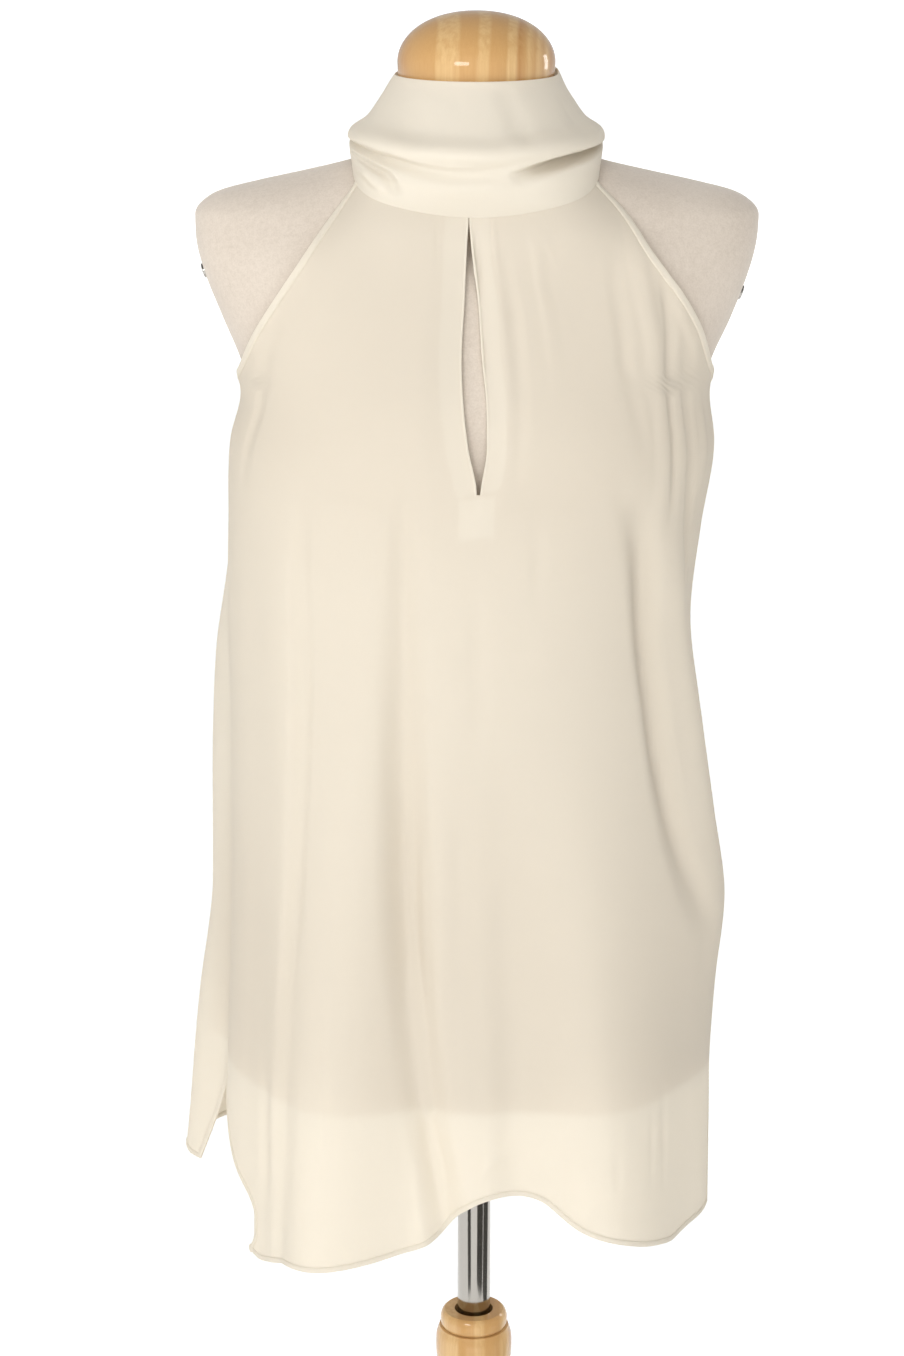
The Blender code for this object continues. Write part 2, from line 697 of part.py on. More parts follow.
def add_wall(name, outer, thickness, material, solid=None, lift=0.0):
    """A wall whose outer face is a grid moved out by lift, going in by thickness."""
    normals = grid_normals(outer)
    if solid is None:
        solid = np.ones((outer.shape[0] - 1, outer.shape[1] - 1), bool)
    top = outer + normals * lift
    verts, faces = wall_mesh(top, top - normals * thickness, solid)
    return add_object(name, verts, faces, material)


def loft(name, rings, material, smooth_angle=40.0):
    """A closed body through rings of equal length, its first and last ring filled in."""
    sides = len(rings[0])
    verts = np.concatenate(rings)
    faces = []
    for k in range(len(rings) - 1):
        for i in range(sides):
            j = (i + 1) % sides
            faces.append((k * sides + i, k * sides + j, (k + 1) * sides + j, (k + 1) * sides + i))
    last = (len(rings) - 1) * sides
    faces.append(tuple(reversed(range(sides))))
    faces.append(tuple(last + i for i in range(sides)))
    return add_object(name, verts, faces, material, smooth_angle)


def circle(radius, z, sides):
    """A ring of points round the pole's axis."""
    turn = np.arange(sides) * 2 * math.pi / sides
    return np.stack([radius * np.sin(turn), -radius * np.cos(turn), np.full(sides, z)], -1)


def turned(name, profile, material, sides=TURNED_SIDES, bore=None):
    """A turned piece. bore gives the radius and the depth of a blind hole in its top."""
    rings = [circle(point.r, point.z, sides) for point in profile]
    if bore is not None:
        radius, depth = bore
        rings.append(circle(radius, profile[-1].z, sides))
        rings.append(circle(radius, profile[-1].z - depth, sides))
    return loft(name, rings, material)


def pierced(name, profile, radius, material, sides=TURNED_SIDES):
    """A turned piece with a hole of the given radius right through."""
    outline = [(p.r, p.z) for p in profile] + [(radius, profile[-1].z), (radius, profile[0].z)]
    verts = np.concatenate([circle(r, z, sides) for r, z in outline])
    count = len(outline)
    faces = []
    for k in range(count):
        n = (k + 1) % count
        for i in range(sides):
            j = (i + 1) % sides
            faces.append((k * sides + i, k * sides + j, n * sides + j, n * sides + i))
    return add_object(name, verts, faces, material)


# ---------------------------------------------------------------- blouse pieces
def add_panel(name, panel, material):
    """A panel's wall with its slit left open above the slit's bottom."""
    solid = np.ones((panel.grid.shape[0] - 1, panel.grid.shape[1] - 1), bool)
    solid[panel.slot_rows :, panel.slot_column] = False
    return add_wall(name, panel.grid, CLOTH_WALL, material, solid)


def panel_skin(panel):
    """The panel's outer facets, for finding the nearest point on them."""
    rows, columns = panel.grid.shape[:2]
    corners = [
        (j * columns + i, j * columns + i + 1, (j + 1) * columns + i + 1, (j + 1) * columns + i)
        for j in range(rows - 1)
        for i in range(columns - 1)
        if not (i == panel.slot_column and j >= panel.slot_rows)
    ]
    triangles = [(a, b, c) for a, b, c, _ in corners] + [(a, c, d) for a, _, c, d in corners]
    return BVHTree.FromPolygons(panel.grid.reshape(-1, 3).tolist(), triangles)


def on_skin(skin, point):
    """The nearest point of a panel's facets."""
    return np.array(skin.find_nearest(list(map(float, point)))[0])


def edge_strip(panel, edge, rows, inward, width):
    """Points and normals of a strip along a panel's edge column, three points across.

    The strip's steps are at most BINDING_STEP long, so that it follows the facets.
    """
    skin = panel_skin(panel)
    normals = grid_normals(panel.grid)[rows, edge]
    path = panel.grid[rows, edge]
    beside = panel.grid[rows, edge + inward] - path
    runs = np.diff(path, axis=0)
    towards = np.einsum("ij,ij->", np.cross(normals[:-1], runs), beside[:-1])
    points, lifts = [], []
    for k in range(len(path) - 1):
        run = runs[k]
        steps = max(1, math.ceil(np.linalg.norm(run) / BINDING_STEP))
        last = int(k == len(path) - 2)
        for n in range(steps + last):
            part = n / steps
            point = path[k] + run * part
            normal = normals[k] * (1 - part) + normals[k + 1] * part
            normal /= np.linalg.norm(normal)
            aside = np.cross(normal, run)
            aside *= math.copysign(width, towards) / np.linalg.norm(aside)
            across = [point] + [on_skin(skin, point + aside * share) for share in (0.5, 1.0)]
            points.append(across)
            lifts.append([normal] * len(across))
    return np.array(points), np.array(lifts)


def add_layer(name, points, normals, base, thickness, material):
    """A wall over a grid: its near face lifted by base, its far face by thickness more."""
    low = points + normals * base
    high = points + normals * (base + thickness)
    solid = np.ones((points.shape[0] - 1, points.shape[1] - 1), bool)
    verts, faces = wall_mesh(high, low, solid)
    return add_object(name, verts, faces, material)


def add_binding(name, front, back, front_edge, back_edge, material):
    """An armhole's binding, from the front neckline under the arm to the back one."""
    parts = []
    for panel, edge in ((front, front_edge), (back, back_edge)):
        rows = np.arange(panel.armhole_start, panel.grid.shape[0])
        inward = 1 if edge == 0 else -1
        parts.append(edge_strip(panel, edge, rows, inward, BINDING_WIDTH))
    points, normals = (
        np.concatenate([parts[0][kind][::-1], parts[1][kind]]) for kind in (0, 1)
    )
    return add_layer(name, points, normals, BINDING_GAP, BINDING_WALL, material)


def add_facing(name, panel, side, width, material):
    """A strip on the inside of the front, beside the keyhole."""
    rows = np.arange(panel.slot_rows, panel.grid.shape[0] - 1)
    edge = panel.slot_column + (1 if side > 0 else 0)
    points, normals = edge_strip(panel, edge, rows, side, width)
    inside = -(CLOTH_WALL + SEAM_GAP + FACING_WALL)
    return add_layer(name, points, normals, inside, FACING_WALL, material)


def add_stay(name, panel, width, height, material):
    """The small doubled rectangle on the inside, under the keyhole."""
    skin = panel_skin(panel)
    top = KEYHOLE_BOTTOM - STAY_DROP
    middle = 0.5 * (KEYHOLE[2].low + KEYHOLE[2].high)
    guess = panel.grid[panel.slot_rows, panel.slot_column]
    points = np.array(
        [
            [on_skin(skin, (middle + x * width, guess[1], z)) for x in (-0.5, 0.0, 0.5)]
            for z in np.linspace(top - height, top, 3)
        ]
    )
    inside = -(CLOTH_WALL + SEAM_GAP + FACING_WALL)
    return add_layer(name, points, grid_normals(points), inside, FACING_WALL, material)


def collar_grid():
    """The collar's outer points, from one lapped end round the front to the other."""
    ends = 180 + LAP_DEGREES / 2
    angles = np.linspace(-ends, ends, COLLAR_STATIONS)
    grid = np.array([[collar_point(row, angle) for angle in angles] for row in COLLAR_ROWS])
    lift = LAP_LIFT * ease((angles - (180 - LAP_DEGREES / 2 - LAP_RAMP)) / LAP_RAMP)
    out = grid * np.array([1.0, 1.0, 0.0])
    out /= np.linalg.norm(out, axis=-1, keepdims=True)
    return grid + out * lift[None, :, None]


def add_button(name, share, material):
    """A small round button on the collar's lap, at a share of the collar's height."""
    grid = collar_grid()
    column_at = int(np.argmin(np.abs(grid[0, -4:, 0]))) + grid.shape[1] - 4
    line = grid[:, column_at]
    at = share * (len(line) - 1)
    low = int(at)
    centre = line[low] + (line[low + 1] - line[low]) * (at - low)
    slope = line[low + 1] - line[low]
    outward = np.cross(slope, np.array([1.0, 0.0, 0.0]))
    outward /= np.linalg.norm(outward)
    if outward[1] < 0:
        outward = -outward
    up = np.cross(np.array([1.0, 0.0, 0.0]), outward)
    turn = np.arange(20) * 2 * math.pi / 20
    rings = []
    for radius, height in (
        (BUTTON_RADIUS * 0.9, 0.0),
        (BUTTON_RADIUS, BUTTON_THICKNESS * 0.35),
        (BUTTON_RADIUS, BUTTON_THICKNESS * 0.75),
        (BUTTON_RADIUS * 0.88, BUTTON_THICKNESS),
    ):
        disc = np.outer(np.cos(turn), [1.0, 0.0, 0.0]) + np.outer(np.sin(turn), up)
        rings.append(centre + disc * radius + outward * (0.0012 + height))
    return loft(name, rings, material)


def build_blouse(materials):
    """Every sewn piece of the blouse."""
    crepe = materials["crepe"]
    front, back = front_panel(), back_panel()
    add_panel("front_panel", front, crepe)
    add_panel("back_panel", back, crepe)
    add_wall("collar", collar_grid(), COLLAR_WALL, crepe)
    last_front, last_back = front.grid.shape[1] - 1, back.grid.shape[1] - 1
    add_binding("armhole_binding_left", front, back, 0, last_back, crepe)
    add_binding("armhole_binding_right", front, back, last_front, 0, crepe)
    add_facing("keyhole_facing_left", front, -1, 0.0155, crepe)
    add_facing("keyhole_facing_right", front, 1, 0.0135, crepe)
    add_stay("keyhole_stay", front, 0.0240, 0.0280, crepe)
    for level, share in BUTTON_HEIGHTS.items():
        add_button(f"collar_button_{level}", share, materials["button"])


# ---------------------------------------------------------------- form and stand
def build_form(materials):
    """The torso, open underneath for the pole, and the wooden cap on its neck."""
    angles = np.arange(FORM_STATIONS) * 360 / FORM_STATIONS
    rings = [
        circle(POLE_RADIUS + POLE_CLEARANCE, FORM_BOTTOM + POLE_DEPTH_IN_FORM, FORM_STATIONS),
        circle(POLE_RADIUS + POLE_CLEARANCE, FORM_BOTTOM, FORM_STATIONS),
    ]
    for row in FORM_SECTIONS:
        level = np.full(angles.shape, row.z)
        radius = section_radius(FORM_SECTIONS, angles, level)
        turn = np.radians(angles)
        rings.append(np.stack([radius * np.sin(turn), -radius * np.cos(turn), level], -1))
    loft("form_torso", rings, materials["jersey"])
    turn = np.linspace(0, math.pi / 2, CAP_PROFILE_STEPS + 1)[:-1]
    profile = [
        TurnPoint(0.0505, NECK_TOP + 0.0004),
        TurnPoint(0.0530, NECK_TOP + 0.0040),
        TurnPoint(CAP_RADIUS - 0.0003, CAP_SIDE_Z - 0.0080),
    ]
    for step in turn:
        profile.append(
            TurnPoint(
                CAP_RADIUS * math.cos(step),
                CAP_SIDE_Z + (CAP_TOP - CAP_SIDE_Z) * math.sin(step),
            )
        )
    turned("neck_cap", profile, materials["pine"])


def build_stand(materials):
    """The socket, the pole and the turned wooden pieces."""
    pine, steel = materials["pine"], materials["steel"]
    pierced("pole_socket", SOCKET_PROFILE, POLE_RADIUS + POLE_CLEARANCE, steel, POLE_SIDES)
    foot = COLUMN_PROFILE[-1].z - COLUMN_BORE_DEPTH + 0.0004
    head = FORM_BOTTOM + POLE_DEPTH_IN_FORM - 0.0010
    turned("pole", [TurnPoint(POLE_RADIUS, foot), TurnPoint(POLE_RADIUS, head)], steel, POLE_SIDES)
    pierced("stand_ring", RING_PROFILE, RING_BORE, pine)
    bore = (POLE_RADIUS + POLE_CLEARANCE, COLUMN_BORE_DEPTH)
    turned("stand_column", COLUMN_PROFILE, pine, bore=bore)
    turned("stand_base", BASE_PROFILE, pine, sides=40)


def main():
    clear_scene()
    materials = make_materials()
    build_form(materials)
    build_stand(materials)
    build_blouse(materials)


main()
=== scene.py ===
"""Sleeveless halter-neck blouse of cream crepe on a limbless dress form.

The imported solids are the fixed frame. Round them this script makes the blouse's cloth and
sewing, the jersey torso and the turned stand, with their finishes, the studio and the camera.
Metres, +Z up; the blouse's front faces -Y. Angles round the body are degrees in plan: 0 is
the centre front, 90 the side at +X, 180 the centre back.
"""

from __future__ import annotations

import logging
import math
from dataclasses import dataclass, field
from enum import Enum
from typing import NamedTuple, Sequence

import bpy
import numpy as np
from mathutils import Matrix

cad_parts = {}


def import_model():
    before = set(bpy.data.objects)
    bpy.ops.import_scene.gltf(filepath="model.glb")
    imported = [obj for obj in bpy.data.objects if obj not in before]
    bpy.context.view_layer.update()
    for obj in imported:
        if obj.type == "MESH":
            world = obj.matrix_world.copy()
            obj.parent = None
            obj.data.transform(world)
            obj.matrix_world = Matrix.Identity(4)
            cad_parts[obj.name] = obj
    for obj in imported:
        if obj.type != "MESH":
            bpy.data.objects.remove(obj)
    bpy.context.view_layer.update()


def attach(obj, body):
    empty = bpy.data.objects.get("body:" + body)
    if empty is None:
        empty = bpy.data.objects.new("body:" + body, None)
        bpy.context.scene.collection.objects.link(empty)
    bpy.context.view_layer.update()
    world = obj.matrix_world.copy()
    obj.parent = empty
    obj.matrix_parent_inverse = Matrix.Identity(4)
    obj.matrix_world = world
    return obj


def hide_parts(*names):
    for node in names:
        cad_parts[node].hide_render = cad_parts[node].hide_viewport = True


log = logging.getLogger("blouse")

Thing = bpy.types.Object
Socket = bpy.types.NodeSocket
Material = bpy.types.Material
Triple = tuple[float, float, float]
Triples = tuple[Triple, ...]

# ---------------------------------------------------------------- sizes shared with the solids
CLOTH = 0.0007
COLLAR_CLOTH = 0.0016
FORM_BOTTOM = 0.574
NECK_TOP = 1.2860
CAP_TOP = 1.3425
CAP_RADIUS = 0.0545
CAP_SIDE_Z = 1.3080
POLE_RADIUS = 0.0125
UNDERARM_Z = 1.0850
SLIT_TOP = 0.585
KEYHOLE_BOTTOM = 1.0310
BACK_SLIT_BOTTOM = 1.1200
FACING_LEFT = 0.0155
FACING_RIGHT = 0.0135
STAY_SIZE = (0.024, 0.028)
STAY_TOP = KEYHOLE_BOTTOM - 0.002

# ---------------------------------------------------------------- the scene's own sizes
SIDE_SEAM_GAP = 0.02  # degrees
LINING = 0.0006
LINING_GAP = 0.0003
LINING_START = 0.0004
PULL_FROM = 0.93  # the share of a panel's height above which it is drawn to the collar
UNDERARM_BLEND = 0.020
SOFT_EDGE = 50.0  # degrees above which an edge stays sharp, for cloth and the torso
TURNED_EDGE = 38.0  # the same for turned wood, steel and buttons
BEVEL_EDGE = 40.0
CREASE_ROW = 0.010
CREASE_RADIUS_COLLAR = 0.0875


class Section(NamedTuple):
    """A level section: half widths to -X and +X, depths to front and back, squareness."""

    z: float
    left: float
    right: float
    front: float
    back: float
    square: float


class FoldPoint(NamedTuple):
    """A point of a fold: its height, its angle and how far it stands out."""

    z: float
    angle: float
    depth: float


class EdgePoint(NamedTuple):
    """A point of an armhole's edge: height and distance from the middle."""

    z: float
    x: float


class AnglePoint(NamedTuple):
    """A point of a slit's edge: height and angle."""

    z: float
    angle: float


class HemPoint(NamedTuple):
    """A point of a hem: angle and height."""

    angle: float
    z: float


class SlotPoint(NamedTuple):
    """The two edges of an opening at a height."""

    z: float
    low: float
    high: float


class CollarRow(NamedTuple):
    """One ring of the collar: heights in front, beside and behind, half width, depths,
    squareness and how the height runs between front, side and back."""

    z_front: float
    z_side: float
    z_back: float
    half: float
    front: float
    back: float
    square: float
    dip: float


class TurnPoint(NamedTuple):
    """A point of a turned profile."""

    r: float
    z: float


class SoftBox(NamedTuple):
    """A soft light: where it stands in degrees and metres, its size, watts, and if it mirrors."""

    name: str
    azimuth: float
    elevation: float
    far: float
    size: tuple[float, float]
    watts: float
    mirrored: bool


def rows(kind: type, table: Sequence[tuple]) -> list:
    """A table's rows as named tuples of a kind."""
    return [kind(*row) for row in table]


FORM_SECTIONS = rows(Section, [
    (0.574, 0.165, 0.165, 0.114, 0.112, 2.3), (0.585, 0.17, 0.17, 0.118, 0.117, 2.3),
    (0.65, 0.172, 0.172, 0.118, 0.123, 2.2), (0.72, 0.164, 0.164, 0.113, 0.116, 2.1),
    (0.8, 0.148, 0.144, 0.103, 0.102, 2), (0.88, 0.134, 0.132, 0.094, 0.09, 2),
    (0.94, 0.138, 0.136, 0.097, 0.091, 2), (1, 0.148, 0.148, 0.109, 0.097, 2.1),
    (1.045, 0.156, 0.156, 0.12, 0.101, 2.2), (1.08, 0.159, 0.159, 0.119, 0.104, 2.3),
    (1.105, 0.166, 0.166, 0.112, 0.105, 2.3), (1.134, 0.178, 0.179, 0.102, 0.104, 2.3),
    (1.159, 0.188, 0.1885, 0.093, 0.101, 2.3), (1.185, 0.195, 0.1955, 0.08, 0.094, 2.3),
    (1.203, 0.196, 0.197, 0.069, 0.084, 2.2), (1.213, 0.19, 0.191, 0.063, 0.077, 2.1),
    (1.2195, 0.179, 0.18, 0.06, 0.072, 1.9), (1.2265, 0.152, 0.153, 0.058, 0.068, 1.75),
    (1.234, 0.118, 0.119, 0.056, 0.064, 1.6), (1.241, 0.088, 0.088, 0.0545, 0.061, 1.7),
    (1.2485, 0.0665, 0.0665, 0.053, 0.057, 1.9), (1.26, 0.056, 0.056, 0.052, 0.054, 2),
    (NECK_TOP, 0.052, 0.052, 0.051, 0.052, 2),
])

BLOUSE_SECTIONS = rows(Section, [
    (0.43, 0.188, 0.1775, 0.13, 0.142, 2.1), (0.5, 0.187, 0.1755, 0.129, 0.14, 2.1),
    (0.57, 0.185, 0.175, 0.129, 0.137, 2.2), (0.65, 0.181, 0.1785, 0.129, 0.134, 2.2),
    (0.71, 0.179, 0.183, 0.129, 0.132, 2.2), (0.78, 0.178, 0.1735, 0.129, 0.13, 2.2),
    (0.85, 0.1775, 0.1632, 0.129, 0.127, 2.2), (0.92, 0.178, 0.1548, 0.129, 0.123, 2.2),
    (0.985, 0.1765, 0.161, 0.13, 0.119, 2.2), (1.045, 0.174, 0.169, 0.129, 0.115, 2.3),
    (1.08, 0.166, 0.165, 0.126, 0.116, 2.3), (1.105, 0.171, 0.17, 0.119, 0.115, 2.3),
    (1.134, 0.183, 0.184, 0.109, 0.114, 2.3), (1.159, 0.193, 0.193, 0.1, 0.111, 2.3),
    (1.185, 0.2, 0.2, 0.091, 0.104, 2.3), (1.203, 0.201, 0.202, 0.0845, 0.096, 2.2),
    (1.22, 0.195, 0.195, 0.075, 0.086, 2.1), (1.235, 0.18, 0.18, 0.065, 0.079, 2.1),
    (1.25, 0.16, 0.16, 0.06, 0.074, 2.1),
])

ARMHOLE_FRONT_LEFT = rows(EdgePoint, [
    (1.23, -0.0825), (1.2085, -0.099), (1.1785, -0.1205), (1.155, -0.1365), (1.13, -0.152),
    (1.104, -0.1635),
])
ARMHOLE_FRONT_RIGHT = rows(EdgePoint, [
    (1.231, 0.0825), (1.216, 0.0985), (1.1875, 0.119), (1.1585, 0.1405), (1.14, 0.1515),
    (1.103, 0.164),
])
ARMHOLE_BACK = rows(EdgePoint, [
    (1.24, 0.07), (1.215, 0.088), (1.185, 0.108), (1.155, 0.129), (1.125, 0.149), (1.1, 0.1625),
])
FRONT_SLIT_LEFT = rows(AnglePoint, [
    (0.44, -70), (0.462, -66), (0.476, -66), (0.505, -77), (0.54, -85), (SLIT_TOP, -90),
])
FRONT_SLIT_RIGHT = rows(AnglePoint, [(0.44, 80), (0.52, 85), (SLIT_TOP, 90)])
BACK_SLIT_RIGHT = rows(AnglePoint, [(0.44, 97), (0.52, 94), (SLIT_TOP, 90)])
BACK_SLIT_LEFT = rows(AnglePoint, [(0.44, 258), (0.52, 264), (SLIT_TOP, 270)])
FRONT_HEM = rows(HemPoint, [
    (-70, 0.446), (-64, 0.444), (-57, 0.45), (-48, 0.4584), (-36, 0.4636), (-24, 0.4706),
    (-12, 0.4825), (-4, 0.5033), (4, 0.514), (14, 0.5165), (21, 0.5125), (31, 0.49), (41, 0.4789),
    (51, 0.4703), (61, 0.4643), (74, 0.465), (84, 0.468),
])
BACK_HEM = rows(HemPoint, [
    (95, 0.468), (130, 0.484), (160, 0.482), (195, 0.49), (220, 0.494), (238, 0.492), (250, 0.482),
    (258, 0.473),
])
KEYHOLE = rows(SlotPoint, [
    (0.43, -0.0012, 0.0012), (0.96, -0.0005, 0.002), (KEYHOLE_BOTTOM, 0.0008, 0.0034),
    (1.062, -0.005, 0.008), (1.092, -0.0085, 0.0075), (1.12, -0.0098, 0.0045),
    (1.158, -0.0078, 0.0016), (1.194, -0.0062, -0.0032), (1.208, -0.0052, -0.0044),
])
BACK_SLOT = rows(SlotPoint, [
    (0.43, -0.0012, 0.0012), (BACK_SLIT_BOTTOM, -0.0012, 0.0012), (1.16, -0.0032, 0.0032),
    (1.24, -0.0015, 0.0015),
])
COLLAR_ROWS = rows(CollarRow, [
    (1.2112, 1.249, 1.243, 0.085, 0.0815, 0.076, 3.8, 1),
    (1.22, 1.251, 1.2465, 0.0862, 0.085, 0.079, 3.2, 1.05),
    (1.23, 1.253, 1.25, 0.0872, 0.0868, 0.08, 2.9, 1.1),
    (1.2375, 1.2545, 1.253, 0.0878, 0.0876, 0.0808, 2.6, 1.25),
    (1.2435, 1.256, 1.256, 0.0884, 0.0882, 0.0818, 2.4, 1.4),
    (1.2495, 1.258, 1.26, 0.089, 0.0886, 0.083, 2.3, 1.5),
    (1.257, 1.263, 1.2665, 0.0872, 0.0868, 0.0815, 2.2, 1.5),
    (1.268, 1.271, 1.275, 0.076, 0.078, 0.075, 2.1, 1.5),
    (1.283, 1.285, 1.288, 0.066, 0.068, 0.067, 2.1, 1.5),
    (1.294, 1.295, 1.298, 0.0598, 0.061, 0.0615, 2, 1.5),
    (1.299, 1.2995, 1.303, 0.0566, 0.0585, 0.059, 2, 1.5),
])
LAP_DEGREES = 16.0
LAP_RAMP = 26.0
LAP_LIFT = 0.0029
# The collar's top edge stands a little up and out behind the right side.
SLACK_FROM_ROW = 8.2
SLACK_RAMP = 1.8
SLACK_ANGLE = 108.0
SLACK_SPREAD = 20.0
SLACK_OUT = 0.0010
SLACK_UP = 0.0026

# Turned profiles: radius and height, from the bottom up.
COLUMN = rows(TurnPoint, [
    (0.034, 0.0403), (0.034, 0.048), (0.028, 0.056), (0.0215, 0.068), (0.019, 0.1), (0.02, 0.17),
    (0.019, 0.235), (0.0175, 0.26), (0.0235, 0.268), (0.0245, 0.274), (0.02, 0.282),
    (0.023, 0.296), (0.0272, 0.316), (0.0291, 0.335), (0.0286, 0.345), (0.0264, 0.3517),
])
RING = rows(TurnPoint, [
    (0.0242, 0.352), (0.0252, 0.3545), (0.0254, 0.359), (0.0243, 0.363), (0.0225, 0.365),
])
BASE = rows(TurnPoint, [
    (0.17, 0), (0.178, 0.003), (0.18, 0.012), (0.177, 0.021), (0.166, 0.027), (0.09, 0.031),
    (0.056, 0.035), (0.048, 0.04),
])
POLE = rows(TurnPoint, [
    (0.0119, 0.2922), (POLE_RADIUS, 0.293), (POLE_RADIUS, 0.6318), (0.0119, 0.6326),
])
SOCKET = rows(TurnPoint, [
    (0.017, 0.546), (0.021, 0.549), (0.022, 0.562), (0.035, 0.564), (0.036, 0.57),
    (0.0345, 0.5735),
])
SOFT_BOXES = rows(SoftBox, [
    ("key_box", -21, 15, 4.2, (1.5, 0.8), 41.5, True),
    ("wide_box", 6, 27, 4, (3, 2.2), 48, False),
    ("left_box", -62, 25, 4, (1.5, 1.5), 28, False),
    ("top_box", -10, 58, 3.6, (2, 1.5), 22, False),
    ("side_box", 122, 10, 3, (0.5, 0.9), 8, True),
])


# ---------------------------------------------------------------- curves and folds
def smooth_curve(keys: Sequence[float], values: Sequence[float], at: np.ndarray) -> np.ndarray:
    """Read a smooth curve that never overshoots its points.

    Args:
        keys: Rising positions of the points.
        values: The value at each position.
        at: Where to read the curve.

    Returns:
        The curve's values there.
    """
    keys, values = np.asarray(keys, float), np.asarray(values, float)
    steps = np.diff(keys)
    slopes = np.diff(values) / steps
    tangents = np.zeros_like(values)
    same_way = slopes[:-1] * slopes[1:] > 0
    mean = (slopes[:-1] * steps[1:] + slopes[1:] * steps[:-1]) / (steps[:-1] + steps[1:])
    limit = 3 * np.minimum(np.abs(slopes[:-1]), np.abs(slopes[1:]))
    tangents[1:-1] = np.where(same_way, np.clip(mean, -limit, limit), 0.0)
    tangents[0], tangents[-1] = slopes[0], slopes[-1]
    at = np.clip(np.asarray(at, float), keys[0], keys[-1])
    cell = np.clip(np.searchsorted(keys, at) - 1, 0, len(steps) - 1)
    u = (at - keys[cell]) / steps[cell]
    return (
        values[cell] * (1 + 2 * u) * (1 - u) ** 2
        + tangents[cell] * steps[cell] * u * (1 - u) ** 2
        + values[cell + 1] * u * u * (3 - 2 * u)
        - tangents[cell + 1] * steps[cell] * u * u * (1 - u)
    )


def lookup(table: Sequence[NamedTuple], name: str, at: np.ndarray) -> np.ndarray:
    """Read a table's named column smoothly.

    Args:
        table: Rows whose first field is the position.
        name: The column to read.
        at: Positions.

    Returns:
        The column's values at the positions.
    """
    ordered = sorted(table, key=lambda row: row[0])
    return smooth_curve([row[0] for row in ordered], [getattr(row, name) for row in ordered], at)


def ease(u: np.ndarray) -> np.ndarray:
    """0 to 1 with flat ends."""
    u = np.clip(u, 0.0, 1.0)
    return u * u * (3 - 2 * u)


def travelled(line: np.ndarray) -> np.ndarray:
    """Distances along a line of points, from its first one."""
    return np.concatenate([[0], np.cumsum(np.linalg.norm(np.diff(line, axis=0), axis=-1))])


def read_line(line: np.ndarray, run: np.ndarray, at: np.ndarray | float) -> np.ndarray:
    """What a line of points holds at distances, where run gives its own points' distances."""
    return np.stack([np.interp(at, run, line[:, k]) for k in range(3)], -1)


def on_rings(radius: np.ndarray, angle: np.ndarray, z: np.ndarray) -> np.ndarray:
    """Points at a radius from the axis, an angle from the front and a height."""
    turn = np.radians(angle)
    return np.stack([radius * np.sin(turn), -radius * np.cos(turn), z + 0 * radius], -1)


def unit(vectors: np.ndarray) -> np.ndarray:
    """Vectors made one long."""
    return vectors / np.linalg.norm(vectors, axis=-1, keepdims=True)


@dataclass(frozen=True)
class Fold:
    """A broad fold that runs down the cloth, as in the solids.

    width_low and width_high are degrees to either side of its path.
    """

    width_low: float
    width_high: float
    path: Triples

    def relief(self, angle: np.ndarray, z: np.ndarray) -> np.ndarray:
        """How far the fold moves the cloth out at an angle and a height."""
        points = [FoldPoint(*point) for point in self.path]
        off = (angle - lookup(points, "angle", z) + 180) % 360 - 180
        width = np.where(off < 0, self.width_low, self.width_high)
        bump = np.cos(np.clip(np.abs(off) / width, 0, 1) * math.pi / 2) ** 2
        return bump * lookup(points, "depth", z)


@dataclass(frozen=True)
class Crease:
    """A small crease drawn through (angle, height, millimetres out) points.

    low and high are its widths in millimetres to smaller and larger angles, for a crease
    that is drawn downwards. A point's millimetres are negative in a trough. sharp is 1 for
    a soft round crease and 2 or more for a pressed one.
    """

    low: float
    high: float
    path: Triples
    sharp: float = 1.0

    def relief(self, angle: np.ndarray, z: np.ndarray, radius: float) -> np.ndarray:
        """How far the crease moves the cloth out.

        Args:
            angle: Degrees round the body.
            z: Heights.
            radius: The radius at which degrees are turned into metres.

        Returns:
            Metres outwards.
        """
        around = np.radians(angle) * radius
        nearest = np.full(around.shape, 1e9)
        relief = np.zeros(around.shape)
        for start, end in zip(self.path[:-1], self.path[1:]):
            a = np.array([math.radians(start[0]) * radius, start[1]])
            b = np.array([math.radians(end[0]) * radius, end[1]])
            run = b - a
            share = ((around - a[0]) * run[0] + (z - a[1]) * run[1]) / float(run @ run)
            share = np.clip(share, 0, 1)
            du, dz = around - a[0] - run[0] * share, z - a[1] - run[1] * share
            far = np.hypot(du, dz)
            high_side = run[0] * dz - run[1] * du > 0
            width = np.where(high_side, self.high, self.low) * 0.001
            bump = np.cos(np.clip(far / width, 0, 1) * math.pi / 2) ** 2
            if self.sharp > 1:
                bump = (1 - np.clip(far / width, 0, 1)) ** self.sharp * (2 - bump)
            depth = start[2] + (end[2] - start[2]) * share
            closer = far < nearest
            nearest = np.where(closer, far, nearest)
            relief = np.where(closer, bump * depth * 0.001, relief)
        return relief


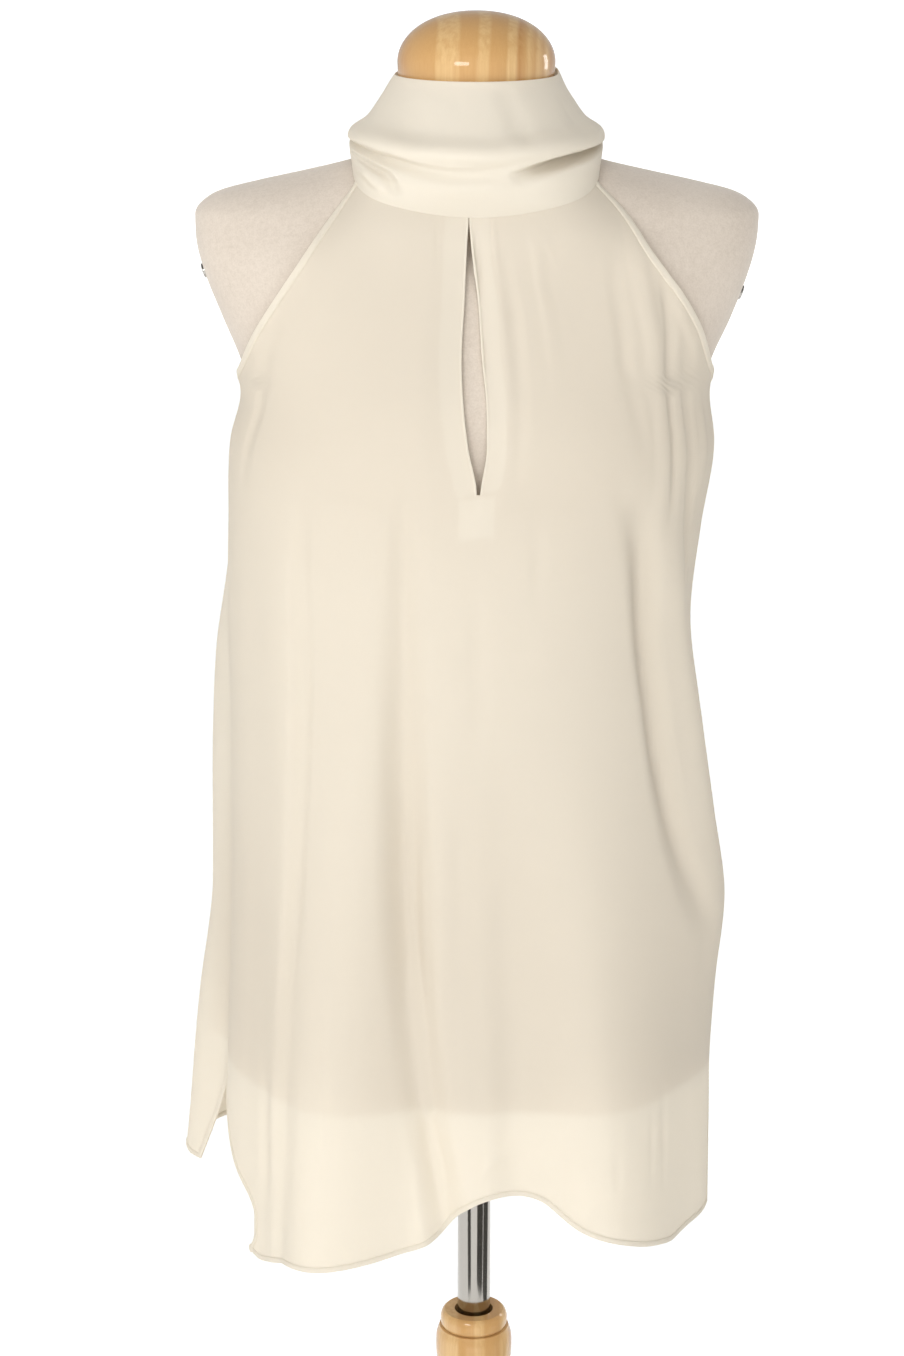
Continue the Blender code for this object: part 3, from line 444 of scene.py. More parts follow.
FOLDS = [
    Fold(22, 22, ((0.45, -41, 0.033), (0.6, -41, 0.021), (0.93, -37, 0))),
    Fold(7, 10, (
        (0.45, -7.5, -0.01), (0.53, -12.5, -0.01), (0.577, -16, -0.007), (0.64, -19, -0.007),
        (0.707, -22, -0.009), (0.78, -23, -0.0085), (0.915, -23, -0.0045), (1.027, -21, 0),
    )),
    Fold(14, 6, ((0.45, -58, 0.006), (0.95, -53, 0.0042), (1.025, -57, 0))),
    Fold(20, 30, ((0.45, 41, 0.024), (0.86, 32, 0))),
    Fold(8, 6, (
        (0.69, 72, 0), (0.713, 68, -0.003), (0.739, 64.5, -0.005), (0.786, 60.5, -0.0075),
        (0.831, 58, -0.0088), (0.876, 56.5, -0.0095), (0.919, 54.5, -0.009), (0.963, 52, -0.0075),
        (0.993, 49.5, -0.0045), (1.03, 44, 0),
    )),
    Fold(9, 10, (
        (0.64, 79, 0.0015), (0.697, 77, 0.0036), (0.784, 72.5, 0.008), (0.874, 69.5, 0.0088),
        (0.933, 66, 0.0075), (0.978, 61, 0.0045), (1.045, 54, 0),
    )),
    Fold(9, 9, ((0.45, 14, -0.004), (0.9, 8, 0))),
    Fold(28, 14, (
        (0.45, 254, 0.05), (0.56, 254.5, 0.039), (0.61, 254.5, 0.0355), (0.7, 255, 0.0262),
        (0.76, 255, 0.0262), (0.82, 255.5, 0.0245), (0.88, 256, 0.02), (0.94, 256.5, 0.0085),
        (0.985, 257, 0),
    )),
    Fold(20, 18, ((0.45, 210, 0.022), (0.96, 206, 0))),
    Fold(10, 9, ((0.45, 192, -0.01), (0.93, 190, -0.004), (1, 190, 0))),
    Fold(18, 20, ((0.45, 156, 0.026), (0.94, 162, 0))),
    Fold(10, 10, ((0.45, 130, -0.008), (0.92, 132, -0.003), (0.98, 132, 0))),
    Fold(13, 13, ((0.45, 110, 0.012), (0.9, 112, 0))),
]

FRONT_CREASES = [
    # beside the left armhole, and the line that falls from the bust
    Crease(7, 10, (
        (-57, 1.165, 0), (-61, 1.128, -1.2), (-65, 1.098, -2), (-68, 1.062, -2.2), (-70, 1.018, 0),
    )),
    Crease(6, 9, (
        (-48.6, 1.03, 0), (-50, 1, -1.4), (-50.4, 0.97, -2), (-49.4, 0.88, -2), (-49.8, 0.8, -1.7),
        (-50.4, 0.735, -1.5), (-52, 0.68, -1.1), (-56, 0.6, 0),
    ), 1.2),
    Crease(14, 16, ((-56, 1.222, 0), (-53, 1.19, 0.9), (-52, 1.15, 0.9), (-51, 1.11, 0))),
    # the trough left of the middle, first soft, then doubled and pressed
    Crease(34, 44, (
        (-21, 1.03, 0), (-22, 0.95, -1.8), (-23, 0.88, -3), (-22.5, 0.78, -3.4), (-21, 0.7, -3.2),
        (-18, 0.6, -3.4), (-13, 0.53, -3.2), (-10, 0.47, -2.4),
    )),
    Crease(12, 14, (
        (-21, 1.045, 0), (-22, 1, -2), (-22.5, 0.93, -1.6), (-23, 0.86, -0.8), (-23, 0.82, 0),
    )),
    Crease(7, 8, (
        (-25, 0.9, 0), (-25.5, 0.85, -1.2), (-24.5, 0.79, -2.2), (-24.5, 0.74, -2.6),
        (-23.5, 0.7, -2.2), (-23, 0.65, -1.4), (-22, 0.61, 0),
    ), 1.2),
    Crease(5, 8, (
        (-20, 0.79, 0), (-20, 0.74, -1.2), (-18.7, 0.665, -2.2), (-18, 0.604, -2.4),
        (-16, 0.555, -2.4), (-13, 0.525, -2), (-10, 0.49, 0),
    ), 1.3),
    Crease(7, 6, ((-15, 0.6, 0), (-13.5, 0.565, -1.2), (-11.5, 0.54, -1.4), (-9, 0.51, 0)), 1.3),
    Crease(12, 18, (
        (-14, 0.87, 0), (-11, 0.78, 1.4), (-10.5, 0.7, 1.6), (-11, 0.65, 1), (-12, 0.61, 0),
    )),
    # small tucks and pulls under the neckline
    Crease(13, 11, (
        (10, 1.2, 0), (12.5, 1.175, -0.9), (14, 1.15, -1.6), (14, 1.11, -1.7), (13, 1.07, -1.3),
        (11, 1.03, 0),
    )),
    Crease(7, 12, ((20, 1.208, 0), (23, 1.187, 0.9), (25, 1.15, 0.8), (25, 1.09, 0))),
    Crease(4, 5, ((19, 1.21, 0), (26, 1.197, 0.5), (32, 1.176, 0))),
    # the keyhole's right edge lies deeper than its left one
    Crease(5, 24, (
        (-1, 1.206, 0), (0.4, 1.185, -2.6), (1.6, 1.155, -4.6), (3, 1.12, -5), (3.9, 1.085, -4.6),
        (3, 1.052, -3), (1, 1.022, 0),
    )),
    Crease(38, 6, (
        (-3, 1.206, 0), (-4.6, 1.16, -2), (-5.2, 1.12, -2.6), (-4.2, 1.08, -2.2), (-1.5, 1.04, -1),
        (0.5, 1.01, 0),
    )),
    Crease(5, 5, ((-15.3, 1.212, 0), (-15.2, 1.198, -0.6), (-15, 1.18, 0))),
    Crease(4, 5, ((6.6, 1.212, -0.6), (5.7, 1.19, 0))),
    # the pressed edge that runs from the right armhole down to the drape
    Crease(8, 7, (
        (54.5, 1.215, 0), (53.6, 1.185, 1.4), (53.2, 1.155, 2), (53.6, 1.117, 2), (54.6, 1.078, 2),
        (54.4, 1.04, 1.5), (53.6, 1.005, 0.8), (52.5, 0.975, 0),
    ), 1.3),
    Crease(9, 8, (
        (48.6, 1.2, 0), (46.6, 1.158, -1.2), (45.4, 1.118, -1.4), (47, 1.08, -0.8), (49, 1.05, 0),
    )),
    Crease(4, 8, (
        (58.5, 1.175, 0), (57.8, 1.155, -2.2), (57.2, 1.115, -2.2), (58, 1.072, -2.6),
        (57.5, 1.03, -2), (57.5, 0.995, 0),
    )),
    Crease(5, 8, ((59.5, 1.168, 0), (62, 1.138, 1.4), (68.5, 1.104, 0))),
    Crease(6, 8, (
        (61, 1.148, 0), (63, 1.11, -1.8), (64.6, 1.07, -2.6), (64.5, 1.03, -3), (66.5, 1, -3),
        (68, 0.97, -2.6), (68, 0.94, -1.2), (67, 0.915, 0),
    ), 1.2),
    Crease(9, 9, ((69, 1.095, 0), (71.5, 1.07, 1.6), (71, 1.045, 1.6), (70, 1.01, 0))),
    # the valley's pressed floor beside the drape
    Crease(9, 5, (
        (46, 1.01, 0), (50.5, 0.98, -0.8), (52.6, 0.95, -1.2), (55.2, 0.9, -1.4),
        (57.8, 0.841, -1.4), (60.4, 0.8, -1.2), (64, 0.755, -1), (69, 0.725, -0.8), (74, 0.7, 0),
    ), 1.2),
    # under the bust
    Crease(16, 20, (
        (-48, 1.042, 0), (-38, 1.034, -1.2), (-27, 1.028, -1.6), (-16, 1.029, -1.2), (-7, 1.028, 0),
    )),
    Crease(20, 16, (
        (48, 1.037, 0), (41, 1.03, -1.2), (30, 1.027, -1.4), (19, 1.027, -1.2), (8, 1.028, 0),
    )),
    # low ripples and the small creases over the hem
    Crease(14, 14, ((-1.6, 0.99, 0), (0.5, 0.93, -0.8), (1, 0.88, -0.8), (-1.5, 0.83, 0))),
    Crease(10, 10, ((17.8, 1.02, 0), (18.4, 0.985, -0.7), (18, 0.94, 0))),
    Crease(11, 10, ((-58.5, 0.6, 0), (-59.5, 0.57, -2.2), (-60.5, 0.52, -2.6), (-62, 0.48, 0))),
    Crease(9, 9, ((-49, 0.59, 0), (-49.5, 0.545, -1.2), (-50, 0.49, 0))),
    Crease(7, 7, ((28.4, 0.552, 0), (28.6, 0.53, -1.1), (29, 0.506, -0.5))),
    Crease(4, 5, ((38.5, 0.556, 0), (38.8, 0.535, -1.3), (39.2, 0.512, 0)), 1.5),
    Crease(5, 4, ((50, 0.58, 0), (50, 0.55, -1.4), (49.4, 0.508, 0)), 1.4),
    Crease(6, 7, ((54.6, 0.59, 0), (55.2, 0.55, -1.6), (55.5, 0.505, 0))),
    Crease(4, 4, ((34.5, 0.516, 0), (32.5, 0.506, 1), (30.6, 0.498, 0)), 1.4),
    Crease(7, 5, ((16, 0.5495, 0), (9, 0.548, 1.1), (4.4, 0.542, 1.3), (1, 0.527, 0))),
]

BACK_CREASES = [
    Crease(12, 6, (
        (196, 1.02, 0), (194, 0.96, 1.4), (193, 0.86, 1.6), (194, 0.76, 1.2), (196, 0.64, 0),
    ), 1.5),
    Crease(8, 8, (
        (183, 0.86, 0), (184, 0.78, -1.8), (185, 0.7, -2), (187, 0.6, -1.6), (189, 0.52, 0),
    ), 1.4),
    Crease(11, 12, ((228, 1.06, 0), (229, 1, -1.4), (231, 0.92, -1.6), (232, 0.82, 0))),
    Crease(9, 7, ((137, 1.05, 0), (138, 0.98, 1.5), (137, 0.88, 1.7), (135, 0.76, 0)), 1.5),
    Crease(10, 10, ((166, 1.12, 0), (163, 1.06, -0.9), (161, 0.99, -1.1), (162, 0.9, 0))),
    Crease(7, 7, ((208, 1.18, 0), (212, 1.13, 0.9), (219, 1.08, 0))),
    Crease(7, 7, ((152, 1.18, 0), (148, 1.13, 0.9), (141, 1.075, 0))),
    Crease(8, 10, ((243, 1.09, 0), (240, 1.04, -1.2), (240, 0.98, -1.4), (242, 0.9, 0))),
    Crease(9, 8, ((118, 1.085, 0), (120, 1.03, -1.2), (121, 0.96, -1.3), (120, 0.88, 0))),
    Crease(5, 5, ((170, 0.57, 0), (171, 0.53, -1.1), (171, 0.5, 0)), 1.4),
    Crease(5, 5, ((221, 0.59, 0), (220, 0.545, -1.2), (219, 0.505, 0)), 1.4),
    Crease(5, 5, ((146, 0.58, 0), (147, 0.54, -1.1), (147, 0.505, 0)), 1.4),
]


# The collar's creases: a point's second number is its height in collar rows times CREASE_ROW.
COLLAR_CREASES = [
    # the roll's under edge, from behind the left side round to the middle of the front
    Crease(14, 8, (
        (-150, 0.036, 0), (-118, 0.038, -2.6), (-85, 0.043, -4.2), (-66, 0.047, -5.2),
        (-57, 0.048, -5.4), (-48, 0.046, -5.4), (-40, 0.0455, -5.2), (-32, 0.042, -4.6),
        (-24, 0.039, -3.8), (-12, 0.0365, -2.8), (-2, 0.037, -2), (8, 0.0395, -1.4), (18, 0.042, 0),
    )),
    # the hollow that opens under the roll at the right
    Crease(16, 6.5, (
        (14, 0.031, 0), (21, 0.035, -5), (28, 0.0395, -10), (36, 0.043, -13), (46, 0.045, -13.5),
        (58, 0.044, -12), (72, 0.042, -9.5), (92, 0.04, -6), (120, 0.038, -3.6), (152, 0.036, 0),
    )),
    # the short pressed crease low at the left, and the lip over it
    Crease(5, 6, (
        (-74, 0.029, 0), (-61, 0.031, -2.2), (-53, 0.031, -3), (-46, 0.0285, -3.8),
        (-40, 0.0255, -4.8), (-37.5, 0.0205, -5), (-36, 0.015, -3), (-35, 0.009, 0),
    ), 1.2),
    Crease(8, 9, ((-60, 0.02, 0), (-50, 0.019, 2.4), (-43, 0.014, 2.4), (-40, 0.007, 0))),
    # the fullness of the roll and of the band under it
    Crease(13, 13, (
        (-80, 0.06, 0), (-45, 0.061, 1.6), (-20, 0.057, 2.4), (8, 0.055, 2.8), (30, 0.06, 2),
        (60, 0.061, 0),
    )),
    Crease(13, 12, ((-34, 0.018, 0), (-16, 0.02, 1.8), (4, 0.021, 2.2), (20, 0.016, 0))),
    # soft diagonal valleys that run from the top edge into the roll
    Crease(16, 18, (
        (-84, 0.094, 0), (-66, 0.085, -1.4), (-50, 0.078, -2.2), (-38, 0.0715, -2.2),
        (-28, 0.066, -1.4), (-16, 0.062, 0),
    )),
    Crease(15, 17, (
        (14, 0.095, 0), (18, 0.084, -0.9), (21, 0.0745, -1.5), (25, 0.068, -1.1), (31, 0.063, 0),
    )),
    Crease(14, 14, ((96, 0.09, 0), (80, 0.082, -1.4), (62, 0.074, -1.8), (50, 0.067, 0))),
    Crease(9, 9, ((140, 0.088, 0), (150, 0.076, -1.8), (160, 0.066, 0))),
    Crease(9, 9, ((-128, 0.09, 0), (-142, 0.076, -2), (-152, 0.064, 0))),
    Crease(6, 10, ((-104, 0.024, 0), (-122, 0.02, -2), (-140, 0.018, -1.8), (-158, 0.02, 0))),
    Crease(6, 10, ((104, 0.02, 0), (124, 0.017, -2), (145, 0.019, 0))),
]


@dataclass
class BodyShape:
    """A body's outside: smooth level sections with folds and creases laid over them.

    Where it lies over another body it is held clear of that one, with a smooth blend.
    """

    sections: Sequence[Section]
    folds: Sequence[Fold] = ()
    creases: Sequence[Crease] = ()
    crease_radius: float = 0.155
    over: BodyShape | None = None
    clear: float = 0.0024
    blend: float = 1.0e-6

    def radius(self, angle: np.ndarray, z: np.ndarray) -> np.ndarray:
        """Distance from the axis to the surface at an angle and a height."""
        side, ahead = np.sin(np.radians(angle)), np.cos(np.radians(angle))
        half = np.where(side < 0, self.read("left", z), self.read("right", z))
        depth = np.where(ahead > 0, self.read("front", z), self.read("back", z))
        square = self.read("square", z)
        total = (np.abs(side) / half) ** square + (np.abs(ahead) / depth) ** square
        radius = total ** (-1 / square)
        for fold in self.folds:
            radius = radius + fold.relief(angle, z)
        for crease in self.creases:
            radius = radius + crease.relief(angle, z, self.crease_radius)
        if self.over is not None:
            inside = self.over.radius(angle, z)
            gap = radius - inside
            radius = inside + (gap + self.clear + np.sqrt((gap - self.clear) ** 2 + self.blend)) / 2
        return radius

    def read(self, name: str, z: np.ndarray) -> np.ndarray:
        """One column of the sections at heights."""
        return lookup(self.sections, name, z)

    def point(self, angle: np.ndarray, z: np.ndarray) -> np.ndarray:
        """Points of the surface."""
        return on_rings(self.radius(angle, z), angle, z)

    def angle_at_x(self, x: np.ndarray, z: np.ndarray, behind: bool) -> np.ndarray:
        """The angles at which the surface is x away from the middle.

        Args:
            x: Distances from the middle, one for each height.
            z: Heights.
            behind: Whether the points lie on the back.

        Returns:
            One angle for each height.
        """
        found = []
        middle, sign = (180.0, -1.0) if behind else (0.0, 1.0)
        for reach_x, level in zip(np.broadcast_to(x, z.shape), z):
            trial = middle + sign * math.copysign(1, reach_x) * np.linspace(0, 90, 181)
            reach = np.abs(self.point(trial, np.full(trial.shape, level))[:, 0])
            peak = int(np.argmax(reach))
            found.append(np.interp(abs(reach_x), reach[: peak + 1], trial[: peak + 1]))
        return np.array(found)


# ---------------------------------------------------------------- mesh helpers
def grid_normals(grid: np.ndarray) -> np.ndarray:
    """Unit normals of a grid of points, each from the cells that meet there."""
    cells = np.cross(grid[1:, 1:] - grid[:-1, :-1], grid[1:, :-1] - grid[:-1, 1:])
    normals = np.zeros_like(grid)
    for j in (slice(None, -1), slice(1, None)):
        for i in (slice(None, -1), slice(1, None)):
            normals[j, i] += cells
    return normals / np.maximum(np.linalg.norm(normals, axis=-1, keepdims=True), 1e-12)


def run_lengths(grid: np.ndarray, axis: int) -> np.ndarray:
    """Distance travelled along a grid's rows or columns from their first point."""
    steps = np.linalg.norm(np.diff(grid, axis=axis), axis=-1)
    pad = [(0, 0), (0, 0)]
    pad[axis] = (1, 0)
    return np.cumsum(np.pad(steps, pad), axis=axis)


@dataclass
class SheetMesh:
    """A closed thin shell made from an outer grid of points and its way inwards."""

    name: str
    outer: np.ndarray
    inner: np.ndarray
    solid: np.ndarray | None
    marks: dict[str, np.ndarray]
    uv: np.ndarray

    def build(self) -> Thing:
        """Make the shell's object, with its cloth map and its marks."""
        tall, wide = self.outer.shape[:2]
        count = tall * wide
        solid = self.solid
        if solid is None:
            solid = np.ones((tall - 1, wide - 1), bool)
        index = np.arange(count).reshape(tall, wide)
        a, b = index[:-1, :-1][solid], index[:-1, 1:][solid]
        c, d = index[1:, 1:][solid], index[1:, :-1][solid]
        faces = [np.stack([a, b, c, d], -1), np.stack([d, c, b, a], -1) + count]
        padded = np.pad(solid, 1)
        inside = padded[1:-1, 1:-1]
        for dj, di, start, end in ((-1, 0, 0, 1), (0, 1, 1, 2), (1, 0, 2, 3), (0, -1, 3, 0)):
            bare = inside & ~padded[1 + dj : tall + dj, 1 + di : wide + di]
            corners = [index[:-1, :-1], index[:-1, 1:], index[1:, 1:], index[1:, :-1]]
            s, e = corners[start][bare], corners[end][bare]
            faces.append(np.stack([e, s, s + count, e + count], -1))
        quads = np.concatenate(faces)
        points = np.concatenate([self.outer.reshape(-1, 3), self.inner.reshape(-1, 3)])
        used = np.unique(quads)
        renumber = np.full(2 * count, -1)
        renumber[used] = np.arange(len(used))
        mesh = bpy.data.meshes.new(self.name)
        mesh.from_pydata(points[used].tolist(), [], renumber[quads].tolist())
        set_cloth_map(mesh, np.concatenate([self.uv.reshape(-1, 2)] * 2)[used])
        for mark, values in self.marks.items():
            set_mark(mesh, mark, np.concatenate([values.ravel()] * 2)[used])
        return add_object(self.name, mesh)


def smooth(mesh: bpy.types.Mesh, degrees: float) -> None:
    """Shade a mesh smooth but for the edges that turn by more than some degrees."""
    mesh.shade_smooth()
    mesh.set_sharp_from_angle(angle=math.radians(degrees))


def add_object(name: str, mesh: bpy.types.Mesh) -> Thing:
    """Put a mesh in the scene as an object at the origin, smooth but for its sharp edges."""
    smooth(mesh, SOFT_EDGE)
    mesh.update()
    thing = bpy.data.objects.new(name, mesh)
    bpy.context.collection.objects.link(thing)
    return thing


def set_cloth_map(mesh: bpy.types.Mesh, uv: np.ndarray) -> None:
    """Give a mesh its cloth map from one pair of lengths for each of its points."""
    layer = mesh.uv_layers.new(name="Cloth")
    corner = np.empty(len(mesh.loops), np.int32)
    mesh.loops.foreach_get("vertex_index", corner)
    layer.data.foreach_set("uv", uv[corner].astype(np.float32).ravel())


def set_mark(mesh: bpy.types.Mesh, name: str, values: np.ndarray) -> None:
    """Give a mesh a mark that its finish reads, with one value for each point."""
    mark = mesh.attributes.new(name, "FLOAT", "POINT")
    mark.data.foreach_set("value", values.astype(np.float32))


def ring_faces(count: int, sides: int) -> list[list[int]]:
    """The faces that skin a row of equal rings, with flat ends."""
    k, i = np.arange(count - 1)[:, None], np.arange(sides)[None, :]
    j = (i + 1) % sides
    low, high = k * sides, (k + 1) * sides
    quads = np.stack([low + i, low + j, high + j, high + i], -1).reshape(-1, 4).tolist()
    return quads + [list(reversed(range(sides))), [(count - 1) * sides + s for s in range(sides)]]


def sweep(name: str, rings: np.ndarray, around: float | None = None) -> Thing:
    """Skin a row of equal rings, with flat ends.

    Args:
        name: The object's name.
        rings: Points by ring and by place round the ring.
        around: For cloth, the length round a ring on the cloth map.

    Returns:
        The object.
    """
    count, sides = rings.shape[:2]
    mesh = bpy.data.meshes.new(name)
    mesh.from_pydata(rings.reshape(-1, 3).tolist(), [], ring_faces(count, sides))
    if around is not None:
        u = np.repeat(travelled(rings[:, 0]), sides)
        v = np.tile(np.linspace(0, around, sides), count)
        set_cloth_map(mesh, np.stack([u, v], -1))
    thing = add_object(name, mesh)
    face_outwards(thing)
    return thing


def add_disc(name: str, radius: float, depth: float, centre: np.ndarray, turn: Triple) -> Thing:
    """Add a low round disc.

    Args:
        name: The object's name.
        radius: Its radius.
        depth: How thick it is.
        centre: Its middle.
        turn: How it is turned, in radians.

    Returns:
        The disc, at the origin.
    """
    bpy.ops.object.select_all(action="DESELECT")
    bpy.ops.mesh.primitive_cylinder_add(
        vertices=40, radius=radius, depth=depth, location=tuple(centre), rotation=turn
    )
    disc = bpy.context.object
    disc.name = disc.data.name = name
    bpy.ops.object.transform_apply(location=True, rotation=True, scale=True)
    return disc


def round_edges(thing: Thing, width: float, segments: int) -> None:
    """Round a selected piece's sharp edges."""
    bevel = thing.modifiers.new("round", "BEVEL")
    bevel.width, bevel.segments, bevel.angle_limit = width, segments, math.radians(BEVEL_EDGE)
    bpy.ops.object.modifier_apply(modifier="round")
    smooth(thing.data, TURNED_EDGE)


def face_outwards(thing: Thing) -> None:
    """Turn all of a closed mesh's faces outwards, in edit mode."""
    bpy.ops.object.select_all(action="DESELECT")
    thing.select_set(True)
    bpy.context.view_layer.objects.active = thing
    bpy.ops.object.mode_set(mode="EDIT")
    bpy.ops.mesh.select_all(action="SELECT")
    bpy.ops.mesh.normals_make_consistent(inside=False)
    bpy.ops.object.mode_set(mode="OBJECT")
    thing.select_set(False)


# ---------------------------------------------------------------- finishes
class Slot(Enum):
    """The record's material slots."""

    CREPE = "crepe"
    BUTTON = "button"
    JERSEY = "jersey"
    PINE = "pine"
    STEEL = "steel"


class Nodes:
    """A new material's nodes, with short calls to add and join them."""

    def __init__(self, name: str) -> None:
        """Start an empty material of this name."""
        self.material = bpy.data.materials.new(name)
        self.material.use_nodes = True
        self.tree = self.material.node_tree
        self.tree.nodes.clear()

    def add(self, kind: str, inputs: dict | None = None, **settings: object) -> bpy.types.Node:
        """Add a node.

        Args:
            kind: The node's type, without its ShaderNode prefix.
            inputs: Values or sockets for its inputs, by name or number.
            settings: Properties to set on it.

        Returns:
            The node.
        """
        node = self.tree.nodes.new("ShaderNode" + kind)
        for name, value in settings.items():
            setattr(node, name, value)
        for name, value in (inputs or {}).items():
            if isinstance(value, Socket):
                self.tree.links.new(value, node.inputs[name])
            else:
                node.inputs[name].default_value = value
        return node

    def noise(self, vector: Socket, scale: float | Triple, detail: float = 2.0) -> Socket:
        """A noise's value at a scale, or at one scale for each axis."""
        if isinstance(scale, tuple):
            vector, scale = self.add("Mapping", {"Vector": vector, "Scale": scale}).outputs[0], 1.0
        node = self.add("TexNoise", {"Vector": vector, "Scale": scale, "Detail": detail})
        return node.outputs["Fac"]

    def bump(self, height: Socket, strength: float, distance: float) -> Socket:
        """The normal of a surface with fine relief."""
        inputs = {"Strength": strength, "Distance": distance, "Height": height}
        return self.add("Bump", inputs).outputs[0]

    def maths(self, operation: str, a: object, b: object = 0.0) -> Socket:
        """A sum, product or other step on two values."""
        return self.add("Math", {0: a, 1: b}, operation=operation).outputs[0]

    def ramp(self, value: Socket, stops: Sequence[tuple]) -> Socket:
        """A colour ramp through (place, colour) stops."""
        node = self.add("ValToRGB", {"Fac": value})
        elements = node.color_ramp.elements
        while len(elements) < len(stops):
            elements.new(0.5)
        for element, (place, colour) in zip(elements, stops):
            element.position = place
            element.color = (*colour, 1.0)
        return node.outputs["Color"]

    def mix(self, share: object, a: object, b: object) -> Socket:
        """Two colours mixed by a share."""
        node = self.add("Mix", {0: share, 6: a, 7: b}, data_type="RGBA")
        return node.outputs[2]

    def body(self, **inputs: object) -> Socket:
        """The main shader, its inputs named with underscores for spaces."""
        named = {name.replace("_", " "): value for name, value in inputs.items()}
        return self.add("BsdfPrincipled", named).outputs[0]

    def end(self, shader: Socket) -> Material:
        """Join the surface's shader and give the finished material."""
        self.add("OutputMaterial", {"Surface": shader})
        return self.material


@dataclass(frozen=True)
class CrepeFinish:
    """Fine matt crepe that lets some light through."""

    name: str = "cream_crepe"
    colour: Triple = (0.890, 0.832, 0.722)
    doubled: Triple = (0.900, 0.845, 0.738)
    # painted shade: the cloth's colour where the torso close behind it blocks the light from behind
    shaded_cloth_colour: Triple = (0.800, 0.728, 0.618)
    between: Triple = (0.74, 0.66, 0.53)
    through: Triple = (0.95, 0.905, 0.82)
    sheer: float = 0.36
    roughness: float = 0.78

    def material(self) -> Material:
        """Build the crepe: pebbled, twisted threads, faint slubs, shown light, and painted shade
        where the torso stands close behind it.
        """
        nodes = Nodes(self.name)
        uv = nodes.add("UVMap", uv_map="Cloth").outputs[0]
        grain = nodes.noise(uv, 2100.0, 3.0)
        warp = nodes.noise(uv, (3800.0, 260.0, 1.0), 1.0)
        weft = nodes.noise(uv, (260.0, 3800.0, 1.0), 1.0)
        threads = nodes.maths("ADD", warp, weft)
        height = nodes.maths("ADD", nodes.maths("MULTIPLY", threads, 0.55), grain)
        cloud = nodes.noise(uv, 14.0, 2.0)
        doubled = nodes.add("Attribute", attribute_name="doubled").outputs["Fac"]
        backlight_shade = nodes.add("Attribute", attribute_name="backlight_shade").outputs["Fac"]
        cloudy = nodes.maths("MULTIPLY", cloud, 0.10)
        plain = nodes.mix(cloudy, (*self.colour, 1), (*self.doubled, 1))
        # Painted shade: darker where the torso close behind the cloth blocks the light from behind,
        # ending at the torso's bottom edge.
        plain = nodes.mix(nodes.maths("MULTIPLY", backlight_shade, 0.85), plain, (*self.shaded_cloth_colour, 1))
        shade = nodes.mix(doubled, plain, (*self.doubled, 1))
        thread = nodes.maths("MULTIPLY", nodes.maths("SUBTRACT", threads, 1.0), 0.10)
        shade = nodes.mix(nodes.maths("ADD", thread, 0.04), shade, (*self.between, 1))
        bump = nodes.bump(height, 0.30, 0.00022)
        body = nodes.body(
            Base_Color=shade, Roughness=self.roughness, Specular_IOR_Level=0.22,
            Sheen_Weight=0.12, Sheen_Roughness=0.45, Normal=bump,
        )
        light = nodes.add("BsdfTranslucent", {"Color": (*self.through, 1), "Normal": bump})
        both = nodes.add("MixShader", {0: self.sheer, 1: body, 2: light.outputs[0]})
        return nodes.end(both.outputs[0])


@dataclass(frozen=True)
class JerseyFinish:
    """Brushed beige jersey, as it covers the torso."""

    name: str = "beige_jersey"
    light: Triple = (0.640, 0.564, 0.482)
    dark: Triple = (0.555, 0.480, 0.402)

    def material(self) -> Material:
        """Build the jersey: a fine, speckled nap with faint clouding."""
        nodes = Nodes(self.name)
        place = nodes.add("TexCoord").outputs["Object"]
        nap = nodes.noise(place, 850.0, 4.0)
        fluff = nodes.noise(place, 260.0, 3.0)
        cloud = nodes.noise(place, 22.0, 2.0)
        fluffy = nodes.maths("MULTIPLY", fluff, 0.3)
        mixed = nodes.maths("ADD", nodes.maths("MULTIPLY", nap, 0.5), fluffy)
        mixed = nodes.maths("ADD", mixed, nodes.maths("MULTIPLY", cloud, 0.2))
        colour = nodes.ramp(mixed, [(0.34, self.dark), (0.60, self.light), (0.8, self.light)])
        body = nodes.body(
            Base_Color=colour, Roughness=0.92, Specular_IOR_Level=0.15, Sheen_Weight=0.25,
            Sheen_Roughness=0.5, Normal=nodes.bump(mixed, 0.35, 0.0006),
        )
        return nodes.end(body)


# Where each stave of the laminated pine starts and ends across the wood, and its tone.
PINE_STAVES = (
    (0, "amber"), (0.12, "honey"), (0.255, "honey"), (0.275, "pale"), (0.385, "pale"),
    (0.405, "honey"), (0.495, "honey"), (0.515, "pale"), (0.56, "pale"), (0.58, "honey"),
    (0.665, "honey"), (0.68, "pale"), (0.72, "pale"), (0.74, "amber"), (0.775, "honey"),
    (0.795, "pale"), (0.83, "honey"), (0.85, "pale"), (0.88, "honey"), (0.905, "pale"),
    (0.93, "amber"), (1, "honey"),
)


